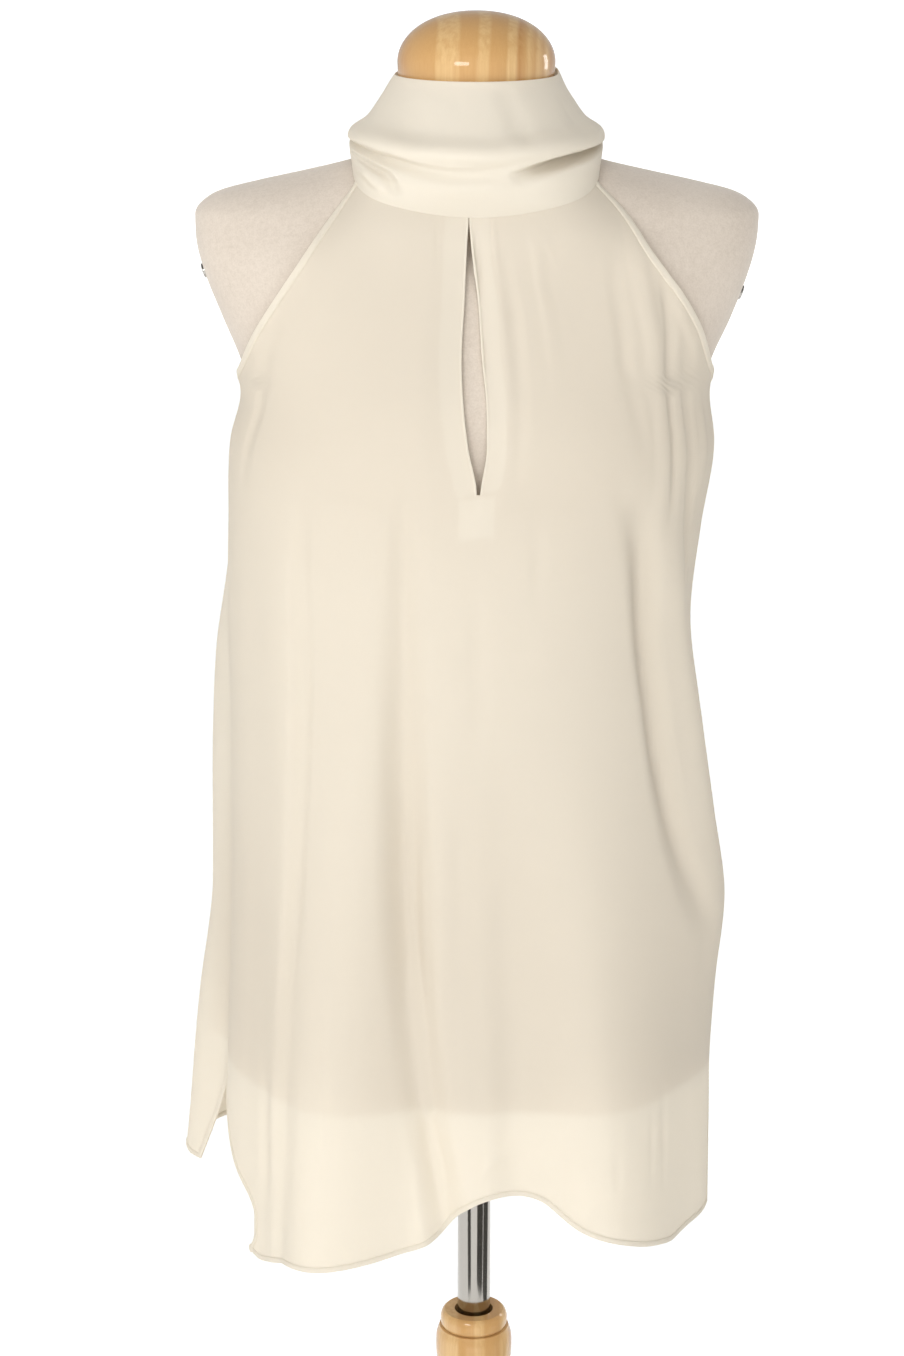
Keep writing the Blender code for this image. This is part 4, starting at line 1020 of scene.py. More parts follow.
@dataclass(frozen=True)
class PineFinish:
    """Laminated honey pine under a thick gloss lacquer."""

    name: str = "lacquered_pine"
    spread: float = 0.115
    pale: Triple = (0.680, 0.455, 0.210)
    honey: Triple = (0.570, 0.335, 0.130)
    amber: Triple = (0.460, 0.230, 0.078)

    def material(self) -> Material:
        """Build the pine: upright year rings in glued staves, fine grain and lacquer."""
        nodes = Nodes(self.name)
        place = nodes.add("TexCoord").outputs["Object"]
        wander = nodes.maths("SUBTRACT", nodes.noise(place, (9.0, 9.0, 5.0), 2.0), 0.5)
        x = nodes.add("SeparateXYZ", {0: place}).outputs[0]
        bent = nodes.maths("ADD", x, nodes.maths("MULTIPLY", wander, 0.012))
        share = nodes.maths("ADD", nodes.maths("DIVIDE", bent, self.spread), 0.5)
        stops = [(place_at, getattr(self, tone)) for place_at, tone in PINE_STAVES]
        bands = nodes.ramp(share, stops)
        fine = nodes.noise(place, (900.0, 500.0, 14.0), 3.0)
        pores = nodes.noise(place, (2600.0, 2600.0, 60.0), 1.0)
        streaks = nodes.noise(place, (260.0, 260.0, 7.0), 3.0)
        streaked = nodes.ramp(streaks, [(0.42, (0, 0, 0)), (0.62, (0.55, 0.55, 0.55))])
        bands = nodes.mix(streaked, bands, (*self.honey, 1))
        grain = nodes.maths("MULTIPLY", nodes.maths("ADD", fine, pores), 0.42)
        colour = nodes.mix(nodes.maths("SUBTRACT", grain, 0.26), bands, (*self.amber, 1))
        body = nodes.body(
            Base_Color=colour, Roughness=0.45, Specular_IOR_Level=0.20,
            Coat_Weight=0.85, Coat_Roughness=0.06, Coat_IOR=1.45,
        )
        return nodes.end(body)


@dataclass(frozen=True)
class SteelFinish:
    """Polished steel tube with faint lengthwise brushing."""

    name: str = "polished_steel"
    colour: Triple = (0.44, 0.42, 0.39)
    along: Triple = (1500.0, 1500.0, 12.0)

    def material(self) -> Material:
        """Build the steel with drawn lines along the tube."""
        nodes = Nodes(self.name)
        place = nodes.add("TexCoord").outputs["Object"]
        lines = nodes.noise(place, self.along, 2.0)
        rough = nodes.maths("ADD", nodes.maths("MULTIPLY", lines, 0.08), 0.08)
        body = nodes.body(
            Base_Color=(*self.colour, 1), Metallic=1.0, Roughness=rough,
            Normal=nodes.bump(lines, 0.08, 0.00005),
        )
        return nodes.end(body)


@dataclass(frozen=True)
class PearlFinish:
    """The pearly gloss of small shirt buttons."""

    name: str = "pearl_button"
    colour: Triple = (0.82, 0.76, 0.66)
    pale: Triple = (0.90, 0.86, 0.80)

    def material(self) -> Material:
        """Build the button's clouded gloss."""
        nodes = Nodes(self.name)
        place = nodes.add("TexCoord").outputs["Object"]
        cloud = nodes.noise(place, 420.0, 3.0)
        colour = nodes.mix(cloud, (*self.colour, 1), (*self.pale, 1))
        body = nodes.body(Base_Color=colour, Roughness=0.22, Coat_Weight=0.6, Coat_Roughness=0.08)
        return nodes.end(body)


@dataclass
class Workshop:
    """The finished materials, and the calls that tell the frame about each piece."""

    materials: dict[Slot, Material] = field(default_factory=dict)

    def prepare(self) -> None:
        """Build every finish once."""
        finishes = {
            Slot.CREPE: CrepeFinish(),
            Slot.BUTTON: PearlFinish(),
            Slot.JERSEY: JerseyFinish(),
            Slot.PINE: PineFinish(),
            Slot.STEEL: SteelFinish(),
        }
        self.materials = {slot: finish.material() for slot, finish in finishes.items()}

    def dress(self, thing: Thing, slot: Slot, replaces: Sequence[str] = ()) -> Thing:
        """Give a piece its finish, its place on the body and the solids it stands for.

        Args:
            thing: The piece.
            slot: The finish.
            replaces: Names of the solids that it stands for.

        Returns:
            The piece.
        """
        thing.data.materials.clear()
        thing.data.materials.append(self.materials[slot])
        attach(thing, "root")
        if replaces:
            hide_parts(*replaces)
        log.info("%s: %d faces", thing.name, len(thing.data.polygons))
        return thing


# ---------------------------------------------------------------- the blouse
@dataclass
class CollarShape:
    """The slouched collar's surface, from its seam up to its folded top edge."""

    rows: Sequence[CollarRow]
    creases: Sequence[Crease] = ()

    def ring(self, level: np.ndarray) -> dict[str, np.ndarray]:
        """The ring's sizes at levels counted in table rows."""
        keys = np.arange(len(self.rows))
        return {
            name: smooth_curve(keys, [getattr(row, name) for row in self.rows], level)
            for name in CollarRow._fields
        }

    def point(self, level: np.ndarray, angle: np.ndarray) -> np.ndarray:
        """Points of the collar's outside at levels and angles."""
        ring = self.ring(level)
        side, ahead = np.abs(np.sin(np.radians(angle))), np.cos(np.radians(angle))
        depth = np.where(ahead > 0, ring["front"], ring["back"])
        total = (side / ring["half"]) ** ring["square"] + (np.abs(ahead) / depth) ** ring["square"]
        radius = total ** (-1 / ring["square"])
        end_z = np.where(ahead > 0, ring["z_front"], ring["z_back"])
        z = ring["z_side"] + (end_z - ring["z_side"]) * np.abs(ahead) ** ring["dip"]
        return on_rings(radius, angle, z)

    def relief(self, level: np.ndarray, angle: np.ndarray) -> np.ndarray:
        """How far the creases move the collar off its plain surface."""
        total = np.zeros(angle.shape)
        for crease in self.creases:
            total += crease.relief(angle, level * CREASE_ROW, CREASE_RADIUS_COLLAR)
        return total


@dataclass
class Panel:
    """A finished panel's grid of points and where its openings are."""

    grid: np.ndarray
    slot_column: int
    slot_row: int
    armhole_row: int

    def solid(self) -> np.ndarray:
        """Which cells are cloth: all but the opening's."""
        cells = np.ones((self.grid.shape[0] - 1, self.grid.shape[1] - 1), bool)
        cells[self.slot_row :, self.slot_column] = False
        return cells

    def area(self) -> float:
        """The cloth's area."""
        g = self.grid
        cells = np.linalg.norm(np.cross(g[1:, 1:] - g[:-1, :-1], g[1:, :-1] - g[:-1, 1:]), axis=-1)
        return float((cells * 0.5 * self.solid()).sum())


@dataclass
class PanelCut:
    """How one panel is cut: its edges, hem, opening and how finely it is laid out."""

    behind: bool
    shape: BodyShape
    collar: CollarShape
    armholes: tuple[Sequence[EdgePoint], Sequence[EdgePoint]]
    slits: tuple[Sequence[AnglePoint], Sequence[AnglePoint]]
    seams: tuple[float, float]
    hem: Sequence[HemPoint]
    slot: Sequence[SlotPoint]
    slot_bottom: float
    corner_x: float
    per_side: int
    rows: int
    levels: np.ndarray = field(default_factory=lambda: np.linspace(0.425, 1.262, 420))
    neck_inset: float = 0.0006
    neck_lap: float = 0.0008
    hem_steps: int = 12

    def edge_angles(
        self, armhole: Sequence[EdgePoint], slit: Sequence[AnglePoint], seam: float
    ) -> np.ndarray:
        """A side edge's angle at every level: slit, side seam and armhole."""
        z = self.levels
        sign = math.copysign(1, armhole[0].x)
        reach = sign * np.abs(lookup(armhole, "x", z))
        plain = BodyShape(self.shape.sections, self.shape.folds)
        arm = plain.angle_at_x(reach, z, self.behind)
        blend = ease((z - UNDERARM_Z) / UNDERARM_BLEND)
        above = seam + (arm - seam) * blend
        below = lookup(slit, "angle", z)
        return np.where(z > UNDERARM_Z, above, np.where(z < SLIT_TOP, below, seam))

    def neck_points(self, share: np.ndarray, past: np.ndarray) -> np.ndarray:
        """Points tucked just inside the collar's lower edge, for shares across the panel."""
        trial = np.linspace(0, 89, 300)
        reach = self.collar.point(np.zeros(300), trial)[:, 0]
        corner = float(np.interp(self.corner_x, reach, trial))
        last = self.slot[-1]
        if self.behind:
            half_slot = math.degrees(last.high / self.collar.rows[0].back)
            low, near, far, high = 180 - corner, 180 - half_slot, 180 + half_slot, 180 + corner
        else:
            near, far = (
                math.copysign(float(np.interp(abs(x), reach, trial)), x)
                for x in (last.low, last.high)
            )
            low, high = -corner, corner
        angle = np.where(past, far + (high - far) * (share - 1), low + (near - low) * share)
        points = self.collar.point(np.zeros(angle.shape), angle)
        points[:, :2] -= unit(points[:, :2]) * self.neck_inset
        points[:, 2] += self.neck_lap
        return points

    def cut(self) -> Panel:
        """Lay out the panel's points from its hem to the neckline."""
        z = self.levels
        low = self.edge_angles(self.armholes[0], self.slits[0], self.seams[0])
        high = self.edge_angles(self.armholes[1], self.slits[1], self.seams[1])
        plain = BodyShape(self.shape.sections, self.shape.folds)
        if self.behind:
            reach = lookup(self.slot, "high", z)
            near, far = plain.angle_at_x(reach, z, True), plain.angle_at_x(-reach, z, True)
        else:
            near = plain.angle_at_x(lookup(self.slot, "low", z), z, False)
            far = plain.angle_at_x(lookup(self.slot, "high", z), z, False)
        one = np.linspace(0, 1, self.per_side)
        share = np.concatenate([one, 1 + one])
        past = np.arange(2 * self.per_side) >= self.per_side

        def angle_of(share_at: np.ndarray, past_at: np.ndarray, level: np.ndarray) -> np.ndarray:
            edges = [np.interp(level, z, line) for line in (low, near, far, high)]
            first = edges[0] + (edges[1] - edges[0]) * share_at
            second = edges[2] + (edges[3] - edges[2]) * (share_at - 1)
            return np.where(past_at, second, first)

        spread = [point.angle for point in sorted(self.hem, key=lambda p: p.angle)]
        hems = lookup(self.hem, "z", spread[0] + (spread[-1] - spread[0]) * share / 2)
        for _ in range(self.hem_steps):
            hems = 0.5 * hems + 0.5 * lookup(self.hem, "z", angle_of(share, past, hems))
        tops = self.neck_points(share, past)
        steps = np.linspace(0, 1, self.rows)
        level = hems + (tops[:, 2] - hems) * steps[:, None]
        slot_row = int(np.searchsorted(level[:, self.per_side], self.slot_bottom))
        angles = angle_of(
            np.broadcast_to(share, level.shape), np.broadcast_to(past, level.shape), level
        )
        grid = self.shape.point(angles, level)
        pull = tops - grid[-1]
        grid += ease((steps - PULL_FROM) / (1 - PULL_FROM))[:, None, None] * pull
        for column in (self.per_side - 1, self.per_side):
            line = near if column < self.per_side else far
            at = np.array(np.interp(self.slot_bottom, z, line))
            grid[slot_row, column] = self.shape.point(at, np.array(self.slot_bottom))
        arm_row = int(np.searchsorted(level[:, 0], UNDERARM_Z))
        return Panel(grid, self.per_side - 1, slot_row, arm_row)


@dataclass
class Band:
    """A narrow sewn band along an edge: a rolled hem, a binding or a turned edge.

    reach is how far it goes in from the edge, over how far it stands past it, and front and
    behind how high it stands off the cloth's outside and inside.
    """

    reach: float
    over: float
    front: float
    behind: float

    def rings(self, edge: np.ndarray, inward: np.ndarray, normal: np.ndarray) -> np.ndarray:
        """Section rings along an edge.

        Args:
            edge: Points of the edge.
            inward: Unit vectors into the cloth.
            normal: Unit vectors off the cloth's outside.

        Returns:
            One ring of points for each point of the edge.
        """
        top, low = self.front, -self.behind
        mid = (top + low) / 2
        outline = [
            (-self.over, mid),
            (-self.over * 0.7, top * 0.7 + mid * 0.3),
            (self.reach * 0.12, top),
            (self.reach * 0.5, top * 1.08),
            (self.reach * 0.88, top * 0.95),
            (self.reach, top * 0.45),
            (self.reach, low * 0.8),
            (self.reach * 0.88, low),
            (self.reach * 0.12, low),
            (-self.over * 0.7, low * 0.7 + mid * 0.3),
        ]
        return np.stack([edge + inward * a + normal * h for a, h in outline], 1)


# A stitch's swelling along its length, and the sides of its thread.
STITCH_SHAPE = ((0.0, 0.0), (0.12, 0.8), (0.5, 1.0), (0.88, 0.8), (1.0, 0.0))
STITCH_SIDES = 5


@dataclass
class Stitching:
    """Small raised stitches along a line of sewing."""

    length: float = 0.0021
    gap: float = 0.0008
    thread: float = 0.00022

    def sew(self, name: str, line: np.ndarray, normal: np.ndarray) -> Thing:
        """Lay stitches along a line of points.

        Args:
            name: The object's name.
            line: Points of the line, on the cloth's outside.
            normal: Unit vectors off the cloth there.

        Returns:
            One object that holds all the stitches.
        """
        run = travelled(line)
        starts = np.arange(self.gap, run[-1] - self.length, self.length + self.gap)
        turn = np.arange(STITCH_SIDES) * 2 * math.pi / STITCH_SIDES
        skin = ring_faces(len(STITCH_SHAPE), STITCH_SIDES)
        verts: list = []
        faces: list = []
        for start in starts:
            faces += [[len(verts) + corner for corner in face] for face in skin]
            ends = [read_line(line, run, start + self.length * s) for s in (0, 1)]
            way = unit(ends[1] - ends[0])
            up = read_line(normal, run, start)
            up = unit(up - way * float(up @ way))
            side = np.cross(way, up)
            for share, swell in STITCH_SHAPE:
                middle = ends[0] + (ends[1] - ends[0]) * share + up * (self.thread * (swell - 0.6))
                for t in turn:
                    spread = self.thread * max(swell, 0.25)
                    verts.append(middle + (side * math.cos(t) + up * math.sin(t)) * spread)
        mesh = bpy.data.meshes.new(name)
        mesh.from_pydata([tuple(v) for v in verts], [], faces)
        thing = add_object(name, mesh)
        face_outwards(thing)
        return thing


@dataclass
class Blouse:
    """The blouse: two panels, a slouched collar, bindings, facings, hems and buttons."""

    shop: Workshop
    front_rows: int = 206
    front_per_side: int = 112
    back_rows: int = 180
    back_per_side: int = 74
    hem_band: Band = field(default_factory=lambda: Band(0.0036, 0.0005, 0.0006, 0.0014))
    binding: Band = field(default_factory=lambda: Band(0.0043, 0.0008, 0.0007, 0.0017))
    turned_edge: Band = field(default_factory=lambda: Band(0.0013, 0.0002, 0.0002, 0.0015))
    stitching: Stitching = field(default_factory=Stitching)
    lining_columns: int = 40
    stay_columns: int = 12
    button_angle: float = 178.6
    button_radius: float = 0.0050
    button_depth: float = 0.0020
    button_gap: float = 0.0012

    def make(self) -> None:
        """Cut, drape and sew the whole blouse."""
        self.collar_shape = CollarShape(COLLAR_ROWS, COLLAR_CREASES)
        self.front = self.cut_front()
        self.back = self.cut_back()
        self.trim: dict[str, list[Thing]] = {"front": [], "back": []}
        self.sew_hems()
        self.sew_bindings()
        self.sew_keyhole()
        self.sew_panels()
        self.sew_collar()
        self.sew_buttons()

    def cut_front(self) -> Panel:
        """Lay out the front panel."""
        shape = BodyShape(BLOUSE_SECTIONS, FOLDS, FRONT_CREASES, over=BodyShape(FORM_SECTIONS))
        seams = (-90 + SIDE_SEAM_GAP, 90 - SIDE_SEAM_GAP)
        return PanelCut(
            False, shape, self.collar_shape,
            (ARMHOLE_FRONT_LEFT, ARMHOLE_FRONT_RIGHT), (FRONT_SLIT_LEFT, FRONT_SLIT_RIGHT),
            seams, FRONT_HEM, KEYHOLE, KEYHOLE_BOTTOM, ARMHOLE_FRONT_RIGHT[0].x,
            self.front_per_side, self.front_rows,
        ).cut()

    def cut_back(self) -> Panel:
        """Lay out the back panel."""
        shape = BodyShape(BLOUSE_SECTIONS, FOLDS, BACK_CREASES, over=BodyShape(FORM_SECTIONS))
        mirrored = [EdgePoint(point.z, -point.x) for point in ARMHOLE_BACK]
        seams = (90 + SIDE_SEAM_GAP, 270 - SIDE_SEAM_GAP)
        return PanelCut(
            True, shape, self.collar_shape,
            (ARMHOLE_BACK, mirrored), (BACK_SLIT_RIGHT, BACK_SLIT_LEFT),
            seams, BACK_HEM, BACK_SLOT, BACK_SLIT_BOTTOM, ARMHOLE_BACK[0].x,
            self.back_per_side, self.back_rows,
        ).cut()

    def cloth_map(self, grid: np.ndarray) -> np.ndarray:
        """Lengths along and up the cloth, from the middle column and the hem."""
        along = run_lengths(grid, 1)
        along -= along[:, grid.shape[1] // 2 : grid.shape[1] // 2 + 1]
        return np.stack([along, run_lengths(grid, 0)], -1)

    def doubled(self, panel: Panel) -> np.ndarray:
        """Where the front lies on a facing or on the stay, from 0 to 1."""
        grid, slot = panel.grid, panel.slot_column
        along = run_lengths(grid, 1)
        near = along[:, slot : slot + 1] - along
        far = along - along[:, slot + 1 : slot + 2]
        inside = np.where(near >= 0, FACING_LEFT - near, FACING_RIGHT - far)
        beside = np.arange(grid.shape[0])[:, None] >= panel.slot_row
        strip = ease(inside / 0.002 + 0.5) * beside
        middle = grid[panel.slot_row, slot]
        wide = STAY_SIZE[0] / 2 - np.abs(grid[..., 0] - middle[0])
        tall = STAY_SIZE[1] / 2 - np.abs(grid[..., 2] - (STAY_TOP - STAY_SIZE[1] / 2))
        stay = ease(np.minimum(wide, tall) / 0.002 + 0.5) * (grid[..., 1] < 0)
        return np.maximum(strip * 0.42, stay * 0.50)

    def backlight_shade(self, grid: np.ndarray, fade: float) -> np.ndarray:
        """Painted shade where the torso lies close behind the cloth and blocks the light from
        behind, from 0 to 1.

        Args:
            grid: The panel's points.
            fade: How much of the painted shade is lost where the cloth stands well away.

        Returns:
            The tint at each point.
        """
        inside = BodyShape(FORM_SECTIONS)
        angle = np.degrees(np.arctan2(grid[..., 0], -grid[..., 1])) % 360
        far = np.hypot(grid[..., 0], grid[..., 1]) - inside.radius(angle, grid[..., 2])
        near = 1 - fade * ease((far - 0.008) / 0.035)
        above = ease((grid[..., 2] - (FORM_BOTTOM + 0.0035)) / 0.007)
        return near * above

    def sew_panels(self) -> None:
        """Make the front and the back cloth."""
        for name, panel, fade in (("front", self.front, 0.45), ("back", self.back, 0.90)):
            grid = panel.grid
            doubled = self.doubled(panel) if name == "front" else grid[..., 0] * 0
            # painted shade from the torso behind the cloth, fading more on the back where the cloth
            # stands away
            marks = {"doubled": doubled, "backlight_shade": self.backlight_shade(grid, fade)}
            inner = grid - grid_normals(grid) * CLOTH
            shell = SheetMesh(
                f"{name}_cloth", grid, inner, panel.solid(), marks, self.cloth_map(grid)
            )
            cloth = self.shop.dress(shell.build(), Slot.CREPE, [f"{name}_panel"])
            area = panel.area()
            log.info("%s cloth: %.4f square metres", name, area)

    def sew_collar(self) -> None:
        """Make the collar: a doubled band with a round top edge and lapped ends."""
        ends = 180 + LAP_DEGREES / 2
        angle = np.linspace(-ends, ends, 300)
        level = np.linspace(0, len(COLLAR_ROWS) - 1, 100)
        mesh_angle, mesh_level = np.meshgrid(angle, level)
        grid = self.collar_shape.point(mesh_level, mesh_angle)
        lift = LAP_LIFT * ease((angle - (180 - LAP_DEGREES / 2 - LAP_RAMP)) / LAP_RAMP)
        out = unit(grid * np.array([1.0, 1.0, 0.0]))
        grid = grid + out * lift[None, :, None]
        grid += grid_normals(grid) * self.collar_shape.relief(mesh_level, mesh_angle)[..., None]
        slack = ease((mesh_level - SLACK_FROM_ROW) / SLACK_RAMP)
        slack = slack * np.exp(-(((mesh_angle - SLACK_ANGLE) / SLACK_SPREAD) ** 2))
        grid += (out * SLACK_OUT + np.array([0, 0, SLACK_UP])) * slack[..., None]
        inner = grid - grid_normals(grid) * COLLAR_CLOTH
        cap = (grid[-1:] + inner[-1:]) / 2 + [0, 0, COLLAR_CLOTH * 0.45]
        swell = np.array([0, 0, COLLAR_CLOTH * 0.12])
        outer = np.concatenate([grid, cap * 0.5 + grid[-1:] * 0.5 + swell, cap])
        lining = np.concatenate([inner, cap * 0.5 + inner[-1:] * 0.5 + swell, cap - [0, 0, 1e-5]])
        marks = {"doubled": np.full(outer.shape[:2], 0.75)}
        shell = SheetMesh("collar_cloth", outer, lining, None, marks, self.cloth_map(outer))
        collar = self.shop.dress(shell.build(), Slot.CREPE, ["collar"])

    def edge_frame(
        self, panel: Panel, j: np.ndarray | int, i: np.ndarray | int, into: tuple[int, int]
    ) -> tuple[np.ndarray, ...]:
        """An edge's points, unit ways into the cloth and unit normals.

        Args:
            panel: The panel.
            j: Row numbers of the edge.
            i: Column numbers of the edge.
            into: The (row, column) step that leads into the cloth.

        Returns:
            Points, ways in and normals.
        """
        j, i = np.broadcast_arrays(j, i)
        edge = panel.grid[j, i]
        normal = grid_normals(panel.grid)[j, i]
        inward = np.cross(normal, unit(np.gradient(edge, axis=0)))
        beside = panel.grid[j + into[0], i + into[1]] - edge
        inward *= np.sign(np.einsum("ij,ij->", inward, beside))
        return edge, unit(inward), normal

    def sew_band(
        self, name: str, band: Band, frame: tuple[np.ndarray, ...], stitch: bool = True
    ) -> Thing:
        """Sew a band along an edge, with its stitches.

        Args:
            name: The band's name.
            band: Its section.
            frame: The edge's points, ways in and normals.
            stitch: Whether stitches show on it.

        Returns:
            The band.
        """
        edge, inward, normal = frame
        thing = sweep(name, band.rings(edge, inward, normal), band.reach * 2)
        set_mark(thing.data, "doubled", np.full(len(thing.data.vertices), 0.5))
        self.shop.dress(thing, Slot.CREPE)
        trim = [thing]
        if stitch:
            line = edge + inward * (band.reach * 0.82) + normal * band.front
            stitches = self.stitching.sew(f"{name}_stitches", line, normal)
            trim.append(self.shop.dress(stitches, Slot.CREPE))
        self.trim["back" if name.startswith("back") else "front"] += trim
        return thing

    def sew_hems(self) -> None:
        """Roll and stitch the hems and the side slits' edges."""
        for name, panel in (("front", self.front), ("back", self.back)):
            last = panel.grid.shape[1] - 1
            columns = np.delete(np.arange(last + 1), panel.slot_column)
            hem = self.edge_frame(panel, 0, columns, (1, 0))
            self.sew_band(f"{name}_hem", self.hem_band, hem)
            for side, column, step in (("low", 0, 1), ("high", last, -1)):
                top = int(np.searchsorted(panel.grid[:, column, 2], SLIT_TOP + 0.004))
                frame = self.edge_frame(panel, np.arange(top), column, (0, step))
                self.sew_band(f"{name}_slit_edge_{side}", self.hem_band, frame)

    def sew_bindings(self) -> None:
        """Bind the armholes, from the front neckline under the arm to the back one."""
        last_front, last_back = self.front.grid.shape[1] - 1, self.back.grid.shape[1] - 1
        for side, front_column, back_column in (("left", 0, last_back), ("right", last_front, 0)):
            parts = []
            for panel, column in ((self.front, front_column), (self.back, back_column)):
                above = np.arange(panel.armhole_row, panel.grid.shape[0])
                parts.append(self.edge_frame(panel, above, column, (0, 1 if column == 0 else -1)))
            frame = tuple(np.concatenate([a[::-1], b[1:]]) for a, b in zip(parts[0], parts[1]))
            binding = self.sew_band(f"armhole_band_{side}", self.binding, frame)
            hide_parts(f"armhole_binding_{side}")

    def sew_keyhole(self) -> None:
        """Turn the keyhole's edges in over their facings, and add the stay."""
        panel = self.front
        slot = panel.slot_column
        normals = grid_normals(panel.grid)
        lining = panel.grid - normals * (CLOTH + LINING_GAP)
        beside = np.arange(panel.slot_row, panel.grid.shape[0])
        for side, column, step, width in (
            ("left", slot, -1, FACING_LEFT),
            ("right", slot + 1, 1, FACING_RIGHT),
        ):
            frame = self.edge_frame(panel, beside, column, (0, step))
            self.sew_band(f"keyhole_edge_{side}", self.turned_edge, frame, stitch=False)
            at = np.linspace(LINING_START, width, 8)
            lines = [lining[row, column::step][: self.lining_columns] for row in beside]
            grid = np.array([read_line(line, travelled(line), at) for line in lines])
            if step < 0:
                grid = grid[:, ::-1]
            self.add_lining(f"keyhole_lining_{side}", grid, f"keyhole_facing_{side}")
        low, high = (
            int(np.searchsorted(panel.grid[:, slot, 2], z))
            for z in (STAY_TOP - STAY_SIZE[1], STAY_TOP)
        )
        patch = []
        for row in range(low, high + 1):
            line = lining[row, slot - self.stay_columns : slot + self.stay_columns + 2]
            at = np.linspace(-0.5, 0.5, 9) * STAY_SIZE[0] + line[self.stay_columns, 0]
            patch.append(read_line(line, line[:, 0], at))
        self.add_lining("keyhole_patch", np.array(patch), "keyhole_stay")

    def add_lining(self, name: str, grid: np.ndarray, node: str) -> None:
        """Sew a small piece of cloth to the inside of the front."""
        shell = SheetMesh(
            name, grid, grid - grid_normals(grid) * LINING, None,
            {"doubled": np.full(grid.shape[:2], 0.6)}, self.cloth_map(grid),
        )
        self.trim["front"].append(self.shop.dress(shell.build(), Slot.CREPE, [node]))

    def sew_buttons(self) -> None:
        """Sew two small buttons on the collar's lap."""
        angle = np.array(self.button_angle)
        for level, share in (("upper", 0.72), ("lower", 0.14)):
            at = share * (len(COLLAR_ROWS) - 1)
            here, above = (self.collar_shape.point(np.array(v), angle) for v in (at, at + 0.2))
            outward = np.cross(unit(above - here), [1.0, 0.0, 0.0])
            outward *= math.copysign(1, outward[1])
            stand_off = self.button_gap + self.button_depth / 2
            centre = here + np.array([0.0, LAP_LIFT, 0.0]) + outward * stand_off
            tilt = math.atan2(outward[2], outward[1])
            button = self.turn_button(f"pearl_button_{level}", centre, tilt)
            self.shop.dress(button, Slot.BUTTON, [f"collar_button_{level}"])

    def turn_button(self, name: str, centre: np.ndarray, tilt: float) -> Thing:
        """Turn one button: a rim round a sunk middle.

        Args:
            name: The object's name.
            centre: Its middle.
            tilt: How far its face looks up, in radians.

        Returns:
            The button, at the origin.
        """
        turn = (tilt - math.pi / 2, 0, 0)
        button = add_disc(name, self.button_radius, self.button_depth, centre, turn)
        faces = button.data.polygons
        way = (math.cos(tilt), math.sin(tilt))
        front = max(faces, key=lambda face: face.center[1] * way[0] + face.center[2] * way[1])
        for item in (*button.data.vertices, *button.data.edges, *faces):
            item.select = False
        front.select = True
        bpy.ops.object.mode_set(mode="EDIT")
        bpy.ops.mesh.select_mode(type="FACE")
        bpy.ops.mesh.inset(thickness=0.0011, depth=0.0)
        bpy.ops.mesh.inset(thickness=0.0006, depth=-0.0005)
        bpy.ops.mesh.select_all(action="SELECT")
        bpy.ops.object.mode_set(mode="OBJECT")
        round_edges(button, 0.0003, 2)
        return button


# ---------------------------------------------------------------- the form and its stand
@dataclass
class DressForm:
    """The limbless jersey torso with a small round fitting in each arm's end."""

    shop: Workshop
    stations: int = 128
    levels: int = 150
    bore_radius: float = 0.0135
    bore_depth: float = 0.055
    fitting_radius: float = 0.0052
    fitting_proud: float = 0.0018

    def make(self) -> None:
        """Build the torso and its fittings."""
        self.build_torso()
        self.set_fitting("arm_fitting_left", -90.0, 1.164)
        self.set_fitting("arm_fitting_right", 90.0, 1.149)

    def build_torso(self) -> None:
        """Loft the torso finely from its sections, with the pole's hole underneath."""
        shape = BodyShape(FORM_SECTIONS)
        angle = np.arange(self.stations) * 360 / self.stations
        keys = np.array([row.z for row in FORM_SECTIONS])
        level = np.interp(np.linspace(0, len(keys) - 1, self.levels), np.arange(len(keys)), keys)
        rings = [shape.point(angle, np.full(angle.shape, z)) for z in level]
        bore = np.full(angle.shape, self.bore_radius)
        for z in (FORM_BOTTOM, FORM_BOTTOM + self.bore_depth):
            rings.insert(0, on_rings(bore, angle, np.full(angle.shape, z)))
        torso = self.shop.dress(sweep("jersey_torso", np.array(rings)), Slot.JERSEY, ["form_torso"])

    def set_fitting(self, name: str, angle: float, z: float) -> None:
        """Set a low round metal head into the jersey, square to it.

        Args:
            name: The object's name.
            angle: Its direction, from the front towards the right.
            z: Its height.
        """
        shape = BodyShape(FORM_SECTIONS)
        here, above = (
            shape.point(np.array([angle]), np.array([level]))[0] for level in (z, z + 0.004)
        )
        slope = unit(above - here)
        side = math.copysign(1.0, here[0])
        turn = (0, math.atan2(side * slope[2], -side * slope[0]), 0)
        head = add_disc(name, self.fitting_radius, 2 * self.fitting_proud, here, turn)
        round_edges(head, 0.0008, 3)
        self.shop.dress(head, Slot.STEEL)


